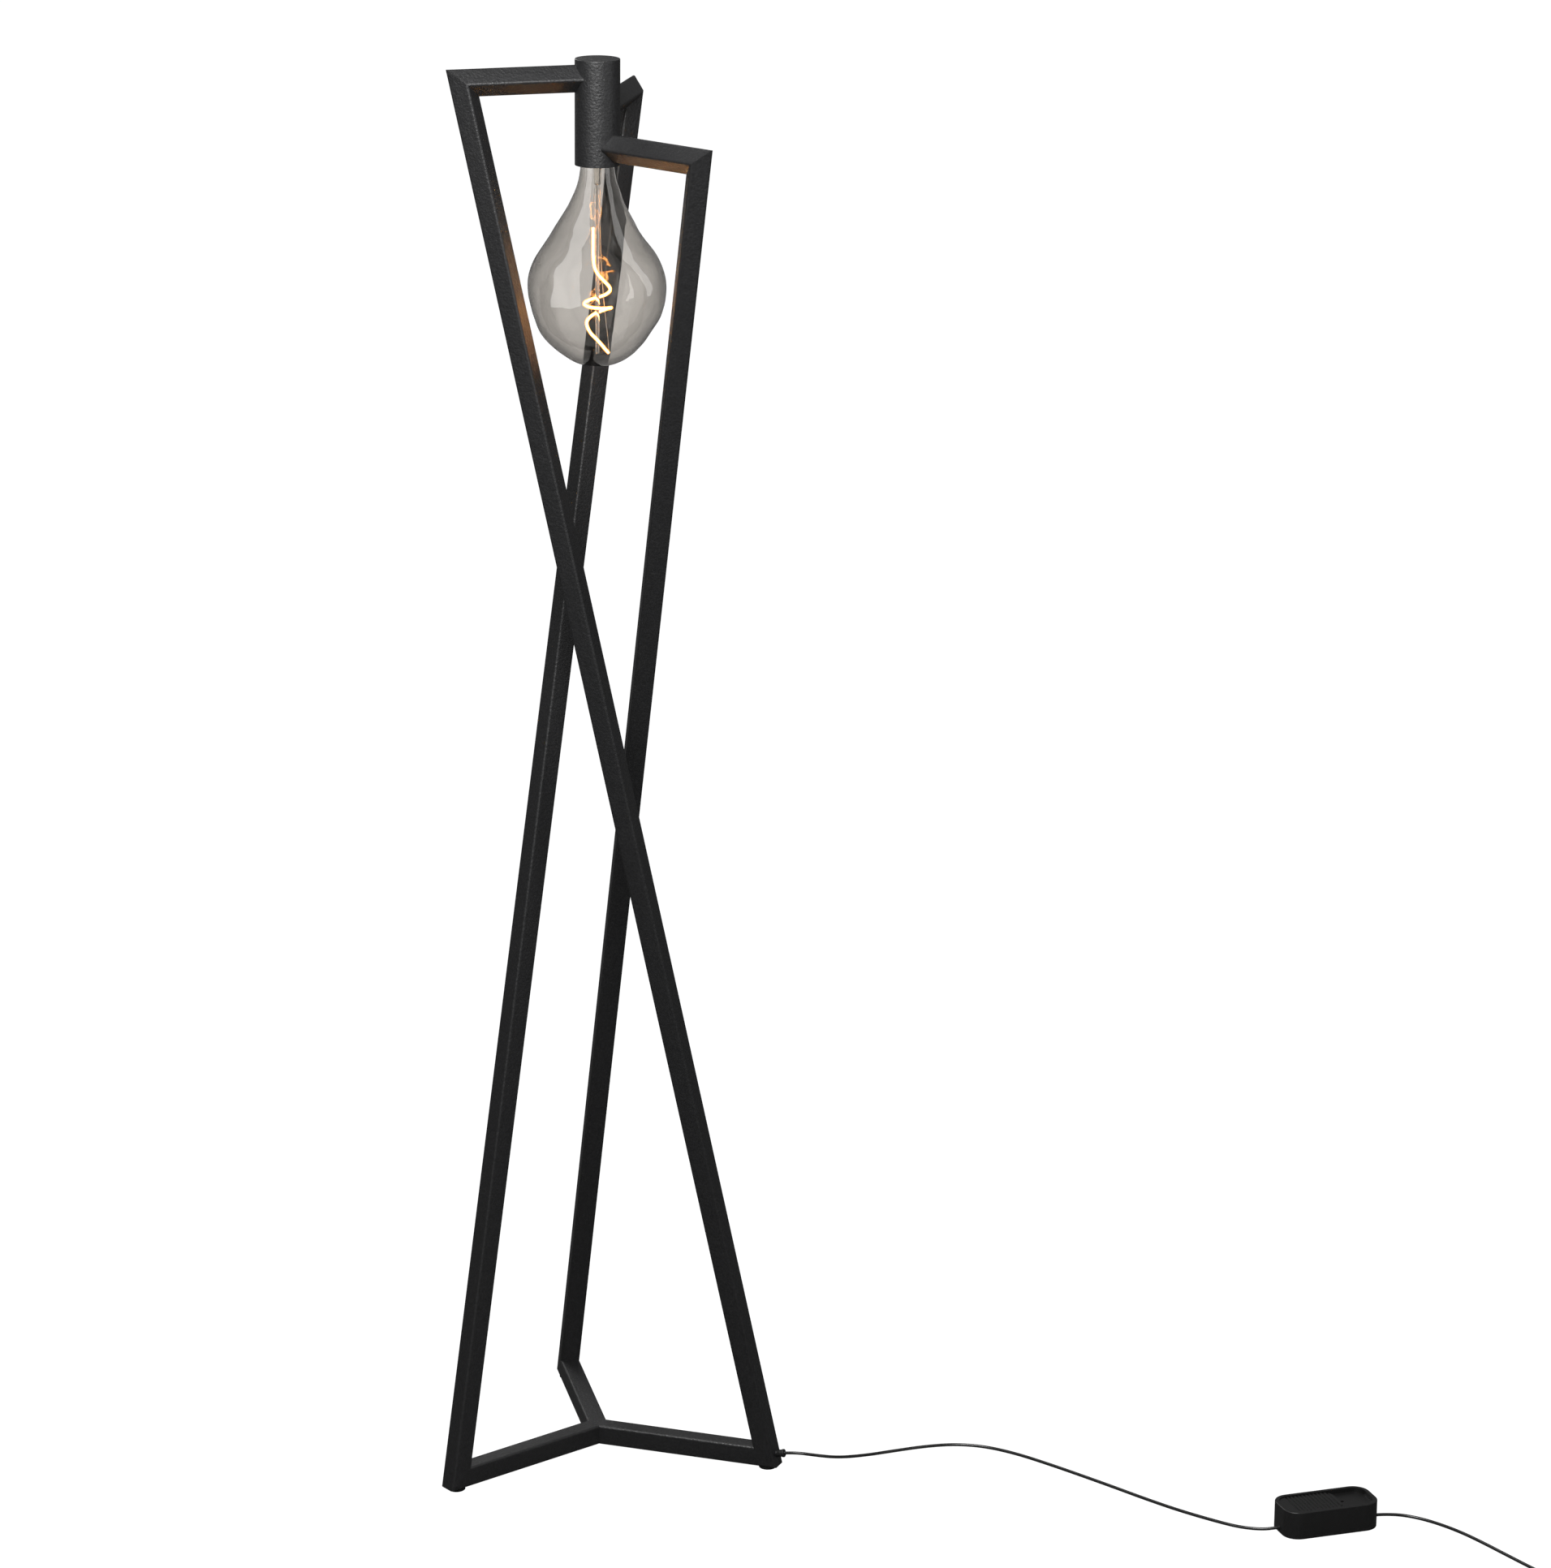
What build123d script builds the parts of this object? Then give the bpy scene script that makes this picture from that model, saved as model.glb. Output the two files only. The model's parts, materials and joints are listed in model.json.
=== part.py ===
from build123d import *
import os
from math import cos, pi, radians, sin, tan

# Floor lamp: three square tubes run out along the floor, twist up and cross, and carry
# a lamp-holder sleeve with one large bare bulb. Millimetres, +Z up. The origin is on
# the floor below the lamp axis, and foot arm b, which carries the cord, lies along +X.

os.makedirs("parts", exist_ok=True)

# ---------------------------------------------------------------- frame of square tube
TUBE = 25.0  # across the flats
TUBE_WALL = 1.5
TUBE_CORNER = 3.0  # outside corner radius
FOOT_RADIUS = 227.0  # lamp axis to the corner where a foot arm turns into its leg
TOP_RADIUS = 164.5  # lamp axis to the corner where a leg turns into its top arm
TWIST = 216.5  # degrees from a foot arm's azimuth to its top arm's azimuth
FOOT_AZIMUTH = {"a": 240.0, "b": 0.0, "c": 120.0}

PAD_HEIGHT = 4.0
PAD_RADIUS = 11.0
PAD_CHAMFER = 0.8
PAD_SINK_DEPTH = 2.4  # counterbore that hides the screw's head
SCREW_RADIUS = 2.0
SCREW_HEAD_RADIUS = 3.5
SCREW_HEAD = 1.6
SCREW_LENGTH = 9.0
FIT = 0.1  # clearance round a screw, nut or insert

# ---------------------------------------------------------------- sleeve and lampholder
SLEEVE_TOP = 1756.0
SLEEVE_LENGTH = 126.0
SLEEVE_RADIUS = 27.0
SLEEVE_WALL = 1.5
SLEEVE_CAP = 3.0
SLEEVE_CAP_EDGE = 0.8
TOP_ARM_DROP = 22.8  # sleeve's top down to the highest top arm's centre
TOP_ARM_PITCH = 40.6  # from one top arm down to the next
TOP_ARM_ORDER = ("b", "a", "c")  # from the highest to the lowest
CABLE_HOLE_RADIUS = 4.0

HOLDER_RISE = 12.0  # sleeve's mouth up to the lampholder's rim
HOLDER_RADIUS = 20.5
HOLDER_WALL = 2.4
HOLDER_LENGTH = 46.0
DOME_HEIGHT = 12.0
DOME_NECK_RADIUS = 8.0
DOME_NECK_HEIGHT = 6.0
INSERT_FLOOR = 18.5  # thickness of the contact block above the screw shell
SHELL_RADIUS = 13.6  # inside of the screw shell that takes the bulb's cap
SHELL_WALL = 0.5
TERMINAL_SPREAD = 9.5
TONGUE_WIDTH = 6.0
TONGUE_THICKNESS = 0.5
CONTACT_GAP = 0.3  # left between the spring tongue and the bulb's contact

NIPPLE_RADIUS = 5.0
NIPPLE_BORE_RADIUS = 3.5
NIPPLE_LENGTH = 20.0
NIPPLE_GRIP = 7.0  # how far the nipple reaches into the dome
BRIDGE_THICKNESS = 2.0
NUT_FLATS = 14.0
NUT_HEIGHT = 3.0

# ---------------------------------------------------------------- bulb, cap upwards
BULB_LENGTH = 275.0
BULB_TIP_DROP = 5.0  # the bulb's tip below the screw shell's top
BULB_RADIUS = 82.5
GLASS_WALL = 1.0
BULB_TURN = 18.4  # azimuth of the side of the bulb that its inner wires are laid out on
# The glass's outline, a chain of tangent arcs from its lowest point up to the neck: shares of
# BULB_RADIUS and of the glass's height below the cap.
GLASS_OUTLINE = (
    (0.000, 0.000),
    (0.811, 0.160),
    (1.000, 0.384),
    (0.848, 0.542),
    (0.442, 0.752),
    (0.240, 0.972),
)
BULB_CAP_RADIUS = 13.1
BULB_CAP_WALL = 0.4
BULB_CAP_LENGTH = 25.0
CAP_SCREW_LENGTH = 18.0  # straight, threaded part of the cap
CAP_RING_RADIUS = 8.0  # the cap's top rim round its insulator
INSULATOR_RADIUS = 6.2
INSULATOR_HEIGHT = 2.6
CENTRE_CONTACT_RADIUS = 4.8
CENTRE_CONTACT_HEIGHT = 1.4
STEM_FLARE_LENGTH = 14.0
STEM_TUBE_RADIUS = 4.0
STEM_TUBE_LENGTH = 12.0
ROD_RADIUS = 2.2
ROD_END = 13.5  # above the bulb's lowest point
LEAD_RADIUS = 0.4
LEAD_BEND = 8.0
FILAMENT_RADIUS = 1.2
FILAMENT_TOP = 166.0
# The filament hangs straight, then winds loosely round the glass rod. In the bulb's own
# frame, above its lowest point.
FILAMENT_ROUTE = (
    (-5, -1.5, 165.5),
    (-5, -1.5, 124),
    (-1, -4.5, 112),
    (9, -6.5, 102),
    (17, 0, 92),
    (10, 14, 82),
    (-8, 15, 77),
    (-18, 2, 74),
    (-10, -13, 72),
    (8, -15, 71),
    (19, -1, 70),
    (10, 13, 65),
    (-6, 13, 59),
    (-14.5, 1, 52),
    (-9, -6, 40),
    (1, -5.5, 31),
    (13.4, -0.6, 14.5),
)

# ---------------------------------------------------------------- cord and its fittings
CORD_RADIUS = 2.0
GRIP_OFFSET = 1.0  # foot corner to the cord grip, along leg b
GRIP_RADIUS = 4.6
GRIP_BODY_LENGTH = 8.0
GRIP_NUT_RADIUS = 5.2
GRIP_NUT_LENGTH = 3.0
GRIP_SHANK_RADIUS = 4.0
GRIP_SCREW_RADIUS = 1.25
GRIP_SCREW_SIDE = 0.6  # how far up its side the grip's screw sits, as a direction
CABLE_LEAN = 5.0  # the inner cable's corner past leg b's centreline
INNER_CABLE_RADII = (10.0, 14.0, 16.0)
# Points of the cord's route, past the two at the grip, laid along the floor.
ROUTE_TO_DIMMER = (
    (288, 6, 21.5),
    (310, 28, 13),
    (334, 64, 5),
    (363, 98, 2),
    (394, 124, 2),
    (428, 144, 2),
    (466, 150, 2),
    (510, 141, 2),
    (556, 123, 2),
    (604, 102, 2),
    (652, 80, 2),
    (700, 57, 2),
    (746, 37, 2),
    (790, 22, 2),
    (830, 11, 2),
    (860, 9, 4),
)
ROUTE_TO_COIL = (
    (1010, 111, 3.6),
    (1034, 112, 2),
    (1062, 102, 2),
    (1092, 86, 2),
    (1123, 64, 2),
    (1154, 40, 2),
    (1184, 17, 2),
    (1207, 0, 2),
    (1228, -17, 2),
)
COIL_CENTRE = (1211.0, -39.0)
COIL_COLUMNS = 4
COIL_LAYERS = 2
COIL_MEAN_RADIUS = 22.0

# ---------------------------------------------------------------- dimmer on the cord
DIMMER_CENTRE = (928.6, 53.3)
DIMMER_AZIMUTH = 37.2
DIMMER_LENGTH = 124.0
DIMMER_WIDTH = 60.0
DIMMER_CORNER = 20.0
DIMMER_HEIGHT = 35.5
DIMMER_WALL = 2.4
DIMMER_EDGE = 1.2
DIMMER_FOOT_HEIGHT = 1.2
DIMMER_SKIRT_GAP = 0.5  # cover's lower edge above the floor
PLATE_THICKNESS = 2.0
RIM = 5.5  # cover's rim round the slider's track
TRACK_DEPTH = 5.5
SLIDER_TRAVEL = 41.0
SLIDER_GAP = 0.3
SLIDER_HEIGHT = 4.2
RIB_COUNT = 11
RIB_PITCH = 4.9
RIB_WIDTH = 2.6
RIB_HEIGHT = 1.1
FIRST_RIB = 14.7  # from the slider's lamp end to its first rib
STALK_LENGTH = 6.0
STALK_WIDTH = 3.0
STALK_DEPTH = 11.0
SLIDER_LIFT = 0.2  # slider's underside above the track's floor
POST_RADIUS = 3.2
POST_FROM_END = 14.0
POST_FROM_SIDE = 12.0
PILLAR_INSET = 4.0  # board's pillars from its edges
POST_SCREW_RADIUS = 1.3
DIMMER_SCREW_LENGTH = 10.0
DIMMER_FOOT_RADIUS = 4.0
BOARD_LENGTH = 84.0
BOARD_WIDTH = 40.0
BOARD_THICKNESS = 1.6
BOARD_RISE = 5.0
POT_WIDTH = 9.0
POT_END = 4.0  # potentiometer's case past its slot
POT_GAP = 2.0
CHOKE_RADIUS = 6.0
CHOKE_INSET = 2.0
CLAMP_X = 51.0
CLAMP_LENGTH = 4.0
CLAMP_WIDTH = 16.0
CLAMP_THICKNESS = 2.0
BUSH_RADIUS = 3.2
BUSH_LENGTH = 5.0
BUSH_PROUD = 1.5

# ---------------------------------------------------------------- plug
PLUG_WIDTH = 35.3
PLUG_THICKNESS = 13.7
PLUG_FACE_LENGTH = 12.0
PLUG_LENGTH = 34.0
PLUG_REAR_WIDTH = 15.0
PLUG_REAR_THICKNESS = 10.5
PIN_RADIUS = 2.0
PIN_LENGTH = 19.0
PIN_SPREAD = 18.6
RELIEF_LENGTH = 22.0
RELIEF_RADIUS = 4.4
TAIL_LENGTH = 42.0
TAIL_AZIMUTH = 198.4

# Worked out from the above.
ARM_Z = PAD_HEIGHT + TUBE / 2
MOUTH_Z = SLEEVE_TOP - SLEEVE_LENGTH
RIM_Z = MOUTH_Z + HOLDER_RISE
DOME_Z = RIM_Z + HOLDER_LENGTH
BRIDGE_Z = DOME_Z + DOME_HEIGHT + DOME_NECK_HEIGHT
NIPPLE_Z = BRIDGE_Z - NIPPLE_GRIP
CORD_DIAMETER = 2 * CORD_RADIUS


def save(piece, name):
    """Label a finished piece and write it."""
    piece.part.label = name
    export_step(piece.part, f"parts/{name}.step")


def polar(radius, azimuth, z):
    """Point at a radius and an azimuth in degrees about the lamp axis."""
    return Vector(radius * cos(radians(azimuth)), radius * sin(radians(azimuth)), z)


# ======================================================================= square tubes
def mirrored(direction, normal):
    """A direction carried over a mitre, whose plane has this unit normal."""
    return direction - normal * (2 * direction.dot(normal))


class Bend:
    """One bent run of tube: foot arm, leg and top arm, with its two mitres."""

    def __init__(self, name):
        azimuth = FOOT_AZIMUTH[name]
        rank = TOP_ARM_ORDER.index(name)
        top_z = SLEEVE_TOP - TOP_ARM_DROP - rank * TOP_ARM_PITCH
        self.azimuth = azimuth
        self.hub = Vector(0, 0, ARM_Z)
        self.foot = polar(FOOT_RADIUS, azimuth, ARM_Z)
        self.top = polar(TOP_RADIUS, azimuth + TWIST, top_z)
        self.end = Vector(0, 0, top_z)
        self.out = (self.foot - self.hub).normalized()
        self.up = (self.top - self.foot).normalized()
        self.back = (self.end - self.top).normalized()
        foot_mitre = (self.out + self.up).normalized()
        top_mitre = (self.up + self.back).normalized()
        self.foot_cut = Plane(origin=self.foot, z_dir=foot_mitre)
        self.top_cut = Plane(origin=self.top, z_dir=top_mitre)
        self.foot_side = Vector(-sin(radians(azimuth)), cos(radians(azimuth)), 0)
        self.leg_side = mirrored(self.foot_side, foot_mitre)
        self.leg_face = mirrored(Vector(0, 0, 1), foot_mitre) * -1
        self.top_side = mirrored(self.leg_side, top_mitre)


def square_tube(start, end, side):
    """Extrude the tube's section from start to end, one pair of flats along side."""
    bore = TUBE - 2 * TUBE_WALL
    along = (end - start).normalized()
    with BuildSketch(Plane(origin=start, x_dir=side, z_dir=along)) as section:
        RectangleRounded(TUBE, TUBE, TUBE_CORNER)
        RectangleRounded(bore, bore, TUBE_CORNER - TUBE_WALL, mode=Mode.SUBTRACT)
    extrude(section.sketch, amount=(end - start).length)


bends = {name: Bend(name) for name in FOOT_AZIMUTH}
SPARE = 1.5 * TUBE  # tube left over at each end for a mitre to cut away
HUB_MITRE = 60.0  # three foot arms meet at the hub, 120 degrees apart

for name, bend in bends.items():
    with BuildPart() as foot_arm:
        square_tube(bend.hub - bend.out * SPARE, bend.foot + bend.out * SPARE, bend.foot_side)
        split(bisect_by=bend.foot_cut, keep=Keep.BOTTOM)
        for turn in (HUB_MITRE, -HUB_MITRE):
            inward = polar(1, bend.azimuth + turn - 90 * turn / HUB_MITRE, 0)
            split(bisect_by=Plane(origin=bend.hub, z_dir=inward), keep=Keep.TOP)
        with Locations(Location(polar(FOOT_RADIUS, bend.azimuth, PAD_HEIGHT))):
            Cylinder(SCREW_RADIUS + FIT, TUBE, mode=Mode.SUBTRACT)
    save(foot_arm, f"foot_arm_{name}")

    with BuildPart() as leg:
        square_tube(bend.foot - bend.up * SPARE, bend.top + bend.up * SPARE, bend.leg_side)
        split(bisect_by=bend.foot_cut, keep=Keep.TOP)
        split(bisect_by=bend.top_cut, keep=Keep.BOTTOM)
        if name == "b":
            grip_seat = bend.foot + bend.up * GRIP_OFFSET + bend.leg_face * (TUBE / 2)
            with BuildSketch(Plane(origin=grip_seat, z_dir=bend.leg_face)):
                Circle(GRIP_SHANK_RADIUS + FIT)
            extrude(amount=-TUBE / 2, mode=Mode.SUBTRACT)
    save(leg, f"leg_{name}")

    with BuildPart() as top_arm:
        square_tube(bend.top - bend.back * SPARE, bend.end, bend.top_side)
        split(bisect_by=bend.top_cut, keep=Keep.TOP)
        with Locations(Location(bend.end)):
            Cylinder(SLEEVE_RADIUS, 3 * TUBE, mode=Mode.SUBTRACT)
    save(top_arm, f"top_arm_{name}")

    with BuildPart() as foot_pad:
        with BuildSketch(Plane(origin=polar(FOOT_RADIUS, bend.azimuth, 0))):
            Circle(PAD_RADIUS)
        extrude(amount=PAD_HEIGHT)
        chamfer(foot_pad.edges().group_by(Axis.Z)[0], PAD_CHAMFER)
        with Locations(Location(polar(FOOT_RADIUS, bend.azimuth, PAD_HEIGHT))):
            Hole(SCREW_RADIUS + FIT)
        with BuildSketch(Plane(origin=polar(FOOT_RADIUS, bend.azimuth, 0))):
            Circle(SCREW_HEAD_RADIUS + FIT)
        extrude(amount=PAD_SINK_DEPTH, mode=Mode.SUBTRACT)
    save(foot_pad, f"foot_pad_{name}")

with BuildPart() as foot_pad_screws:
    for azimuth in FOOT_AZIMUTH.values():
        head = polar(FOOT_RADIUS, azimuth, PAD_SINK_DEPTH - SCREW_HEAD)
        with BuildSketch(Plane(origin=head)):
            Circle(SCREW_HEAD_RADIUS)
        extrude(amount=SCREW_HEAD)
        with BuildSketch(Plane(origin=head)):
            Circle(SCREW_RADIUS)
        extrude(amount=SCREW_HEAD + SCREW_LENGTH)
save(foot_pad_screws, "foot_pad_screws")


# ============================================================= sleeve, bridge, nipple
def ring(outer, inner, low, high):
    """Round tube about the lamp axis, between two heights; inner 0 makes it solid."""
    with BuildSketch(Plane.XY.offset(low)) as section:
        Circle(outer)
        if inner:
            Circle(inner, mode=Mode.SUBTRACT)
    extrude(section.sketch, amount=high - low)


with BuildPart() as sleeve:
    ring(SLEEVE_RADIUS, SLEEVE_RADIUS - SLEEVE_WALL, MOUTH_Z, SLEEVE_TOP - SLEEVE_CAP)
    cable_arm = bends["b"]
    with BuildSketch(Plane(origin=cable_arm.end, z_dir=cable_arm.back * -1)):
        Circle(CABLE_HOLE_RADIUS)
    extrude(amount=SLEEVE_RADIUS + SLEEVE_WALL, mode=Mode.SUBTRACT)
save(sleeve, "sleeve")

with BuildPart() as sleeve_cap:
    ring(SLEEVE_RADIUS, 0, SLEEVE_TOP - SLEEVE_CAP, SLEEVE_TOP)
    fillet(sleeve_cap.edges().group_by(Axis.Z)[-1], SLEEVE_CAP_EDGE)
save(sleeve_cap, "sleeve_cap")

with BuildPart() as holder_bridge:
    bridge_radius = SLEEVE_RADIUS - SLEEVE_WALL - FIT
    ring(bridge_radius, NIPPLE_RADIUS + FIT, BRIDGE_Z, BRIDGE_Z + BRIDGE_THICKNESS)
    vent_radius = (bridge_radius - NUT_FLATS / 2) / 4
    with Locations((0, 0, BRIDGE_Z + BRIDGE_THICKNESS)):
        with PolarLocations((bridge_radius + NUT_FLATS / 2) / 2, 3):
            Hole(vent_radius)
save(holder_bridge, "holder_bridge")

with BuildPart() as nipple:
    ring(NIPPLE_RADIUS, NIPPLE_BORE_RADIUS, NIPPLE_Z, NIPPLE_Z + NIPPLE_LENGTH)
save(nipple, "threaded_nipple")

with BuildPart() as nipple_nut:
    with BuildSketch(Plane.XY.offset(BRIDGE_Z + BRIDGE_THICKNESS)):
        RegularPolygon(NUT_FLATS / 2, 6, major_radius=False)
        Circle(NIPPLE_RADIUS + FIT, mode=Mode.SUBTRACT)
    extrude(amount=NUT_HEIGHT)
save(nipple_nut, "nipple_nut")


# ========================================================================= lampholder
def turned(points):
    """Revolve a closed outline of (radius, height) points about the lamp axis."""
    with BuildSketch(Plane.XZ) as section:
        with BuildLine():
            Polyline(*points, close=True)
        make_face()
    revolve(section.sketch, axis=Axis.Z)


with BuildPart() as lampholder_body:
    ring(HOLDER_RADIUS, HOLDER_RADIUS - HOLDER_WALL, RIM_Z, DOME_Z)
    fillet(lampholder_body.edges().group_by(Axis.Z)[0], HOLDER_WALL / 4)
save(lampholder_body, "lampholder_body")

with BuildPart() as lampholder_dome:
    neck_top = BRIDGE_Z
    neck_z = DOME_Z + DOME_HEIGHT
    turned(
        [
            (HOLDER_RADIUS, DOME_Z),
            (HOLDER_RADIUS, DOME_Z + DOME_HEIGHT / 3),
            (DOME_NECK_RADIUS, neck_z),
            (DOME_NECK_RADIUS, neck_top),
            (NIPPLE_RADIUS + FIT, neck_top),
            (NIPPLE_RADIUS + FIT, neck_z - HOLDER_WALL),
            (HOLDER_RADIUS - HOLDER_WALL, DOME_Z + DOME_HEIGHT / 3 - HOLDER_WALL / 2),
            (HOLDER_RADIUS - HOLDER_WALL, DOME_Z),
        ]
    )
save(lampholder_dome, "lampholder_dome")

INSERT_RADIUS = HOLDER_RADIUS - HOLDER_WALL - FIT
SHELL_OUTER = SHELL_RADIUS + SHELL_WALL
INSERT_LOW = RIM_Z + 1.0
INSERT_TOP = DOME_Z - 1.0
SHELL_TOP = INSERT_TOP - INSERT_FLOOR

with BuildPart() as lampholder_insert:
    ring(INSERT_RADIUS, 0, INSERT_LOW, INSERT_TOP)
    ring_cut = Plane.XY.offset(INSERT_LOW)
    with BuildSketch(ring_cut):
        Circle(SHELL_OUTER + FIT)
    extrude(amount=SHELL_TOP - INSERT_LOW, mode=Mode.SUBTRACT)
    with BuildSketch(Plane.XY.offset(INSERT_TOP)):
        with Locations((TERMINAL_SPREAD, 0), (-TERMINAL_SPREAD, 0)):
            Circle(SCREW_RADIUS)
    extrude(amount=-INSERT_FLOOR / 2, mode=Mode.SUBTRACT)
save(lampholder_insert, "lampholder_insert")

with BuildPart() as screw_shell:
    ring(SHELL_OUTER, SHELL_RADIUS, INSERT_LOW + 1.0, SHELL_TOP)
save(screw_shell, "screw_shell")

BULB_TIP_Z = SHELL_TOP - BULB_TIP_DROP
with BuildPart() as contact_tongue:
    rise = SHELL_TOP - BULB_TIP_Z - CONTACT_GAP
    with BuildSketch(Plane.XZ.offset(-TONGUE_WIDTH / 2)):
        with BuildLine():
            Polyline(
                (-SHELL_RADIUS * 0.8, SHELL_TOP),
                (-SHELL_RADIUS * 0.8, SHELL_TOP - TONGUE_THICKNESS),
                (-SHELL_RADIUS * 0.45, SHELL_TOP - TONGUE_THICKNESS),
                (-CENTRE_CONTACT_RADIUS / 2, SHELL_TOP - rise),
                (CENTRE_CONTACT_RADIUS / 2, SHELL_TOP - rise),
                (CENTRE_CONTACT_RADIUS / 2, SHELL_TOP - rise + TONGUE_THICKNESS),
                (-CENTRE_CONTACT_RADIUS / 2, SHELL_TOP - rise + TONGUE_THICKNESS),
                (-SHELL_RADIUS * 0.42, SHELL_TOP),
                close=True,
            )
        make_face()
    extrude(amount=TONGUE_WIDTH)
save(contact_tongue, "contact_tongue")

with BuildPart() as terminal_screws:
    for side in (1, -1):
        with BuildSketch(Plane(origin=(side * TERMINAL_SPREAD, 0, INSERT_TOP))):
            Circle(SCREW_RADIUS * 1.4)
        extrude(amount=SCREW_HEAD)
        with BuildSketch(Plane(origin=(side * TERMINAL_SPREAD, 0, INSERT_TOP))):
            Circle(SCREW_RADIUS - FIT)
        extrude(amount=-INSERT_FLOOR / 3)
save(terminal_screws, "terminal_screws")

# =============================================================================== bulb
BULB_LOW_Z = BULB_TIP_Z - BULB_LENGTH
CAP_LOW_Z = BULB_TIP_Z - BULB_CAP_LENGTH
NECK_RADIUS = BULB_CAP_RADIUS - BULB_CAP_WALL - FIT
NECK_LENGTH = 6.0  # of the glass's neck inside the cap


with BuildPart() as bulb_glass:
    glass_height = CAP_LOW_Z - BULB_LOW_Z
    corners = [(r * BULB_RADIUS, BULB_LOW_Z + h * glass_height) for r, h in GLASS_OUTLINE]
    neck_top = CAP_LOW_Z + NECK_LENGTH
    with BuildSketch(Plane.XZ):
        with BuildLine():
            side = TangentArc(corners[0], corners[1], tangent=(1, 0))
            for corner in corners[2:]:
                side = TangentArc(side @ 1, corner, tangent=side % 1)
            shoulder = TangentArc(side @ 1, (NECK_RADIUS, CAP_LOW_Z), tangent=side % 1)
            Polyline(shoulder @ 1, (NECK_RADIUS, neck_top), (0, neck_top), corners[0])
        make_face()
    revolve(axis=Axis.Z)
    offset(amount=-GLASS_WALL, openings=bulb_glass.faces().sort_by(Axis.Z)[-1])
save(bulb_glass, "bulb_glass")

with BuildPart() as bulb_cap:
    cap_inner = BULB_CAP_RADIUS - BULB_CAP_WALL
    screw_top = CAP_LOW_Z + CAP_SCREW_LENGTH
    ring_z = BULB_TIP_Z - CENTRE_CONTACT_HEIGHT - INSULATOR_HEIGHT
    turned(
        [
            (BULB_CAP_RADIUS, CAP_LOW_Z + FIT),
            (BULB_CAP_RADIUS, screw_top),
            (CAP_RING_RADIUS, ring_z),
            (CAP_RING_RADIUS - BULB_CAP_WALL, ring_z),
            (cap_inner, screw_top - BULB_CAP_WALL),
            (cap_inner, CAP_LOW_Z + FIT),
        ]
    )
save(bulb_cap, "bulb_cap")

with BuildPart() as bulb_cap_insulator:
    turned(
        [
            (0, ring_z),
            (CAP_RING_RADIUS - BULB_CAP_WALL, ring_z),
            (INSULATOR_RADIUS, BULB_TIP_Z - CENTRE_CONTACT_HEIGHT),
            (0, BULB_TIP_Z - CENTRE_CONTACT_HEIGHT),
        ]
    )
save(bulb_cap_insulator, "bulb_cap_insulator")

with BuildPart() as bulb_contact:
    ring(CENTRE_CONTACT_RADIUS, 0, BULB_TIP_Z - CENTRE_CONTACT_HEIGHT, BULB_TIP_Z)
    fillet(bulb_contact.edges().group_by(Axis.Z)[-1], CENTRE_CONTACT_HEIGHT / 2)
save(bulb_contact, "bulb_contact")

STEM_LOW = CAP_LOW_Z - STEM_FLARE_LENGTH
with BuildPart() as bulb_stem:
    flare = NECK_RADIUS - GLASS_WALL - FIT
    turned(
        [
            (0, STEM_LOW - STEM_TUBE_LENGTH),
            (STEM_TUBE_RADIUS, STEM_LOW - STEM_TUBE_LENGTH),
            (STEM_TUBE_RADIUS, STEM_LOW),
            (flare, CAP_LOW_Z + 2),
            (flare, CAP_LOW_Z + 4),
            (0, CAP_LOW_Z + 4),
        ]
    )
    ring(ROD_RADIUS, 0, BULB_LOW_Z + ROD_END, STEM_LOW - STEM_TUBE_LENGTH)
save(bulb_stem, "bulb_stem")


# ===================================================================== cords and wires
def fair_radii(points):
    """For each inner point of a route, the largest arc that its two runs leave room for."""
    radii = []
    for before, here, after in zip(points, points[1:], points[2:]):
        first, second = here - before, after - here
        half_turn = radians(first.get_angle(second)) / 2
        radii.append(0.45 * min(first.length, second.length) / tan(half_turn))
    return radii


def rod_along(points, radius, radii=None):
    """Round rod or cord along straight runs joined by tangent arcs."""
    corners = [Vector(*point) for point in points]
    with BuildLine() as path:
        if len(corners) == 2:
            Line(*corners)
        else:
            FilletPolyline(*corners, radius=radii or fair_radii(corners))
    with BuildSketch(Plane(origin=corners[0], z_dir=corners[1] - corners[0])) as section:
        Circle(radius)
    sweep(section.sketch, path=path.line)


bulb_plane = Plane(
    origin=(0, 0, BULB_LOW_Z),
    x_dir=(cos(radians(BULB_TURN)), sin(radians(BULB_TURN)), 0),
)


def in_bulb(*points):
    """Points in the bulb's own frame, its lowest point at the origin."""
    return [bulb_plane.from_local_coords(Vector(*point)) for point in points]


with BuildPart() as bulb_leads:
    lead_top = STEM_LOW - STEM_TUBE_LENGTH - BULB_LOW_Z
    rod_along(in_bulb((-3.2, -1, lead_top), (-5, -1.5, FILAMENT_TOP)), LEAD_RADIUS)
    rod_along(in_bulb((3, 1, lead_top), (3, 1, FILAMENT_TOP), (14.4, 1, ROD_END)), LEAD_RADIUS, [LEAD_BEND])
save(bulb_leads, "bulb_leads")

with BuildPart() as bulb_filament:
    rod_along(in_bulb(*FILAMENT_ROUTE), FILAMENT_RADIUS)
save(bulb_filament, "bulb_filament")

# Cord grip: a sleeve through leg b's wall with a clamping nut and a side screw.
bend_b = bends["b"]
grip_plane = Plane(origin=grip_seat, x_dir=bend_b.leg_side, z_dir=bend_b.leg_face)
GRIP_INNER = TUBE_WALL + 2.0

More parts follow.
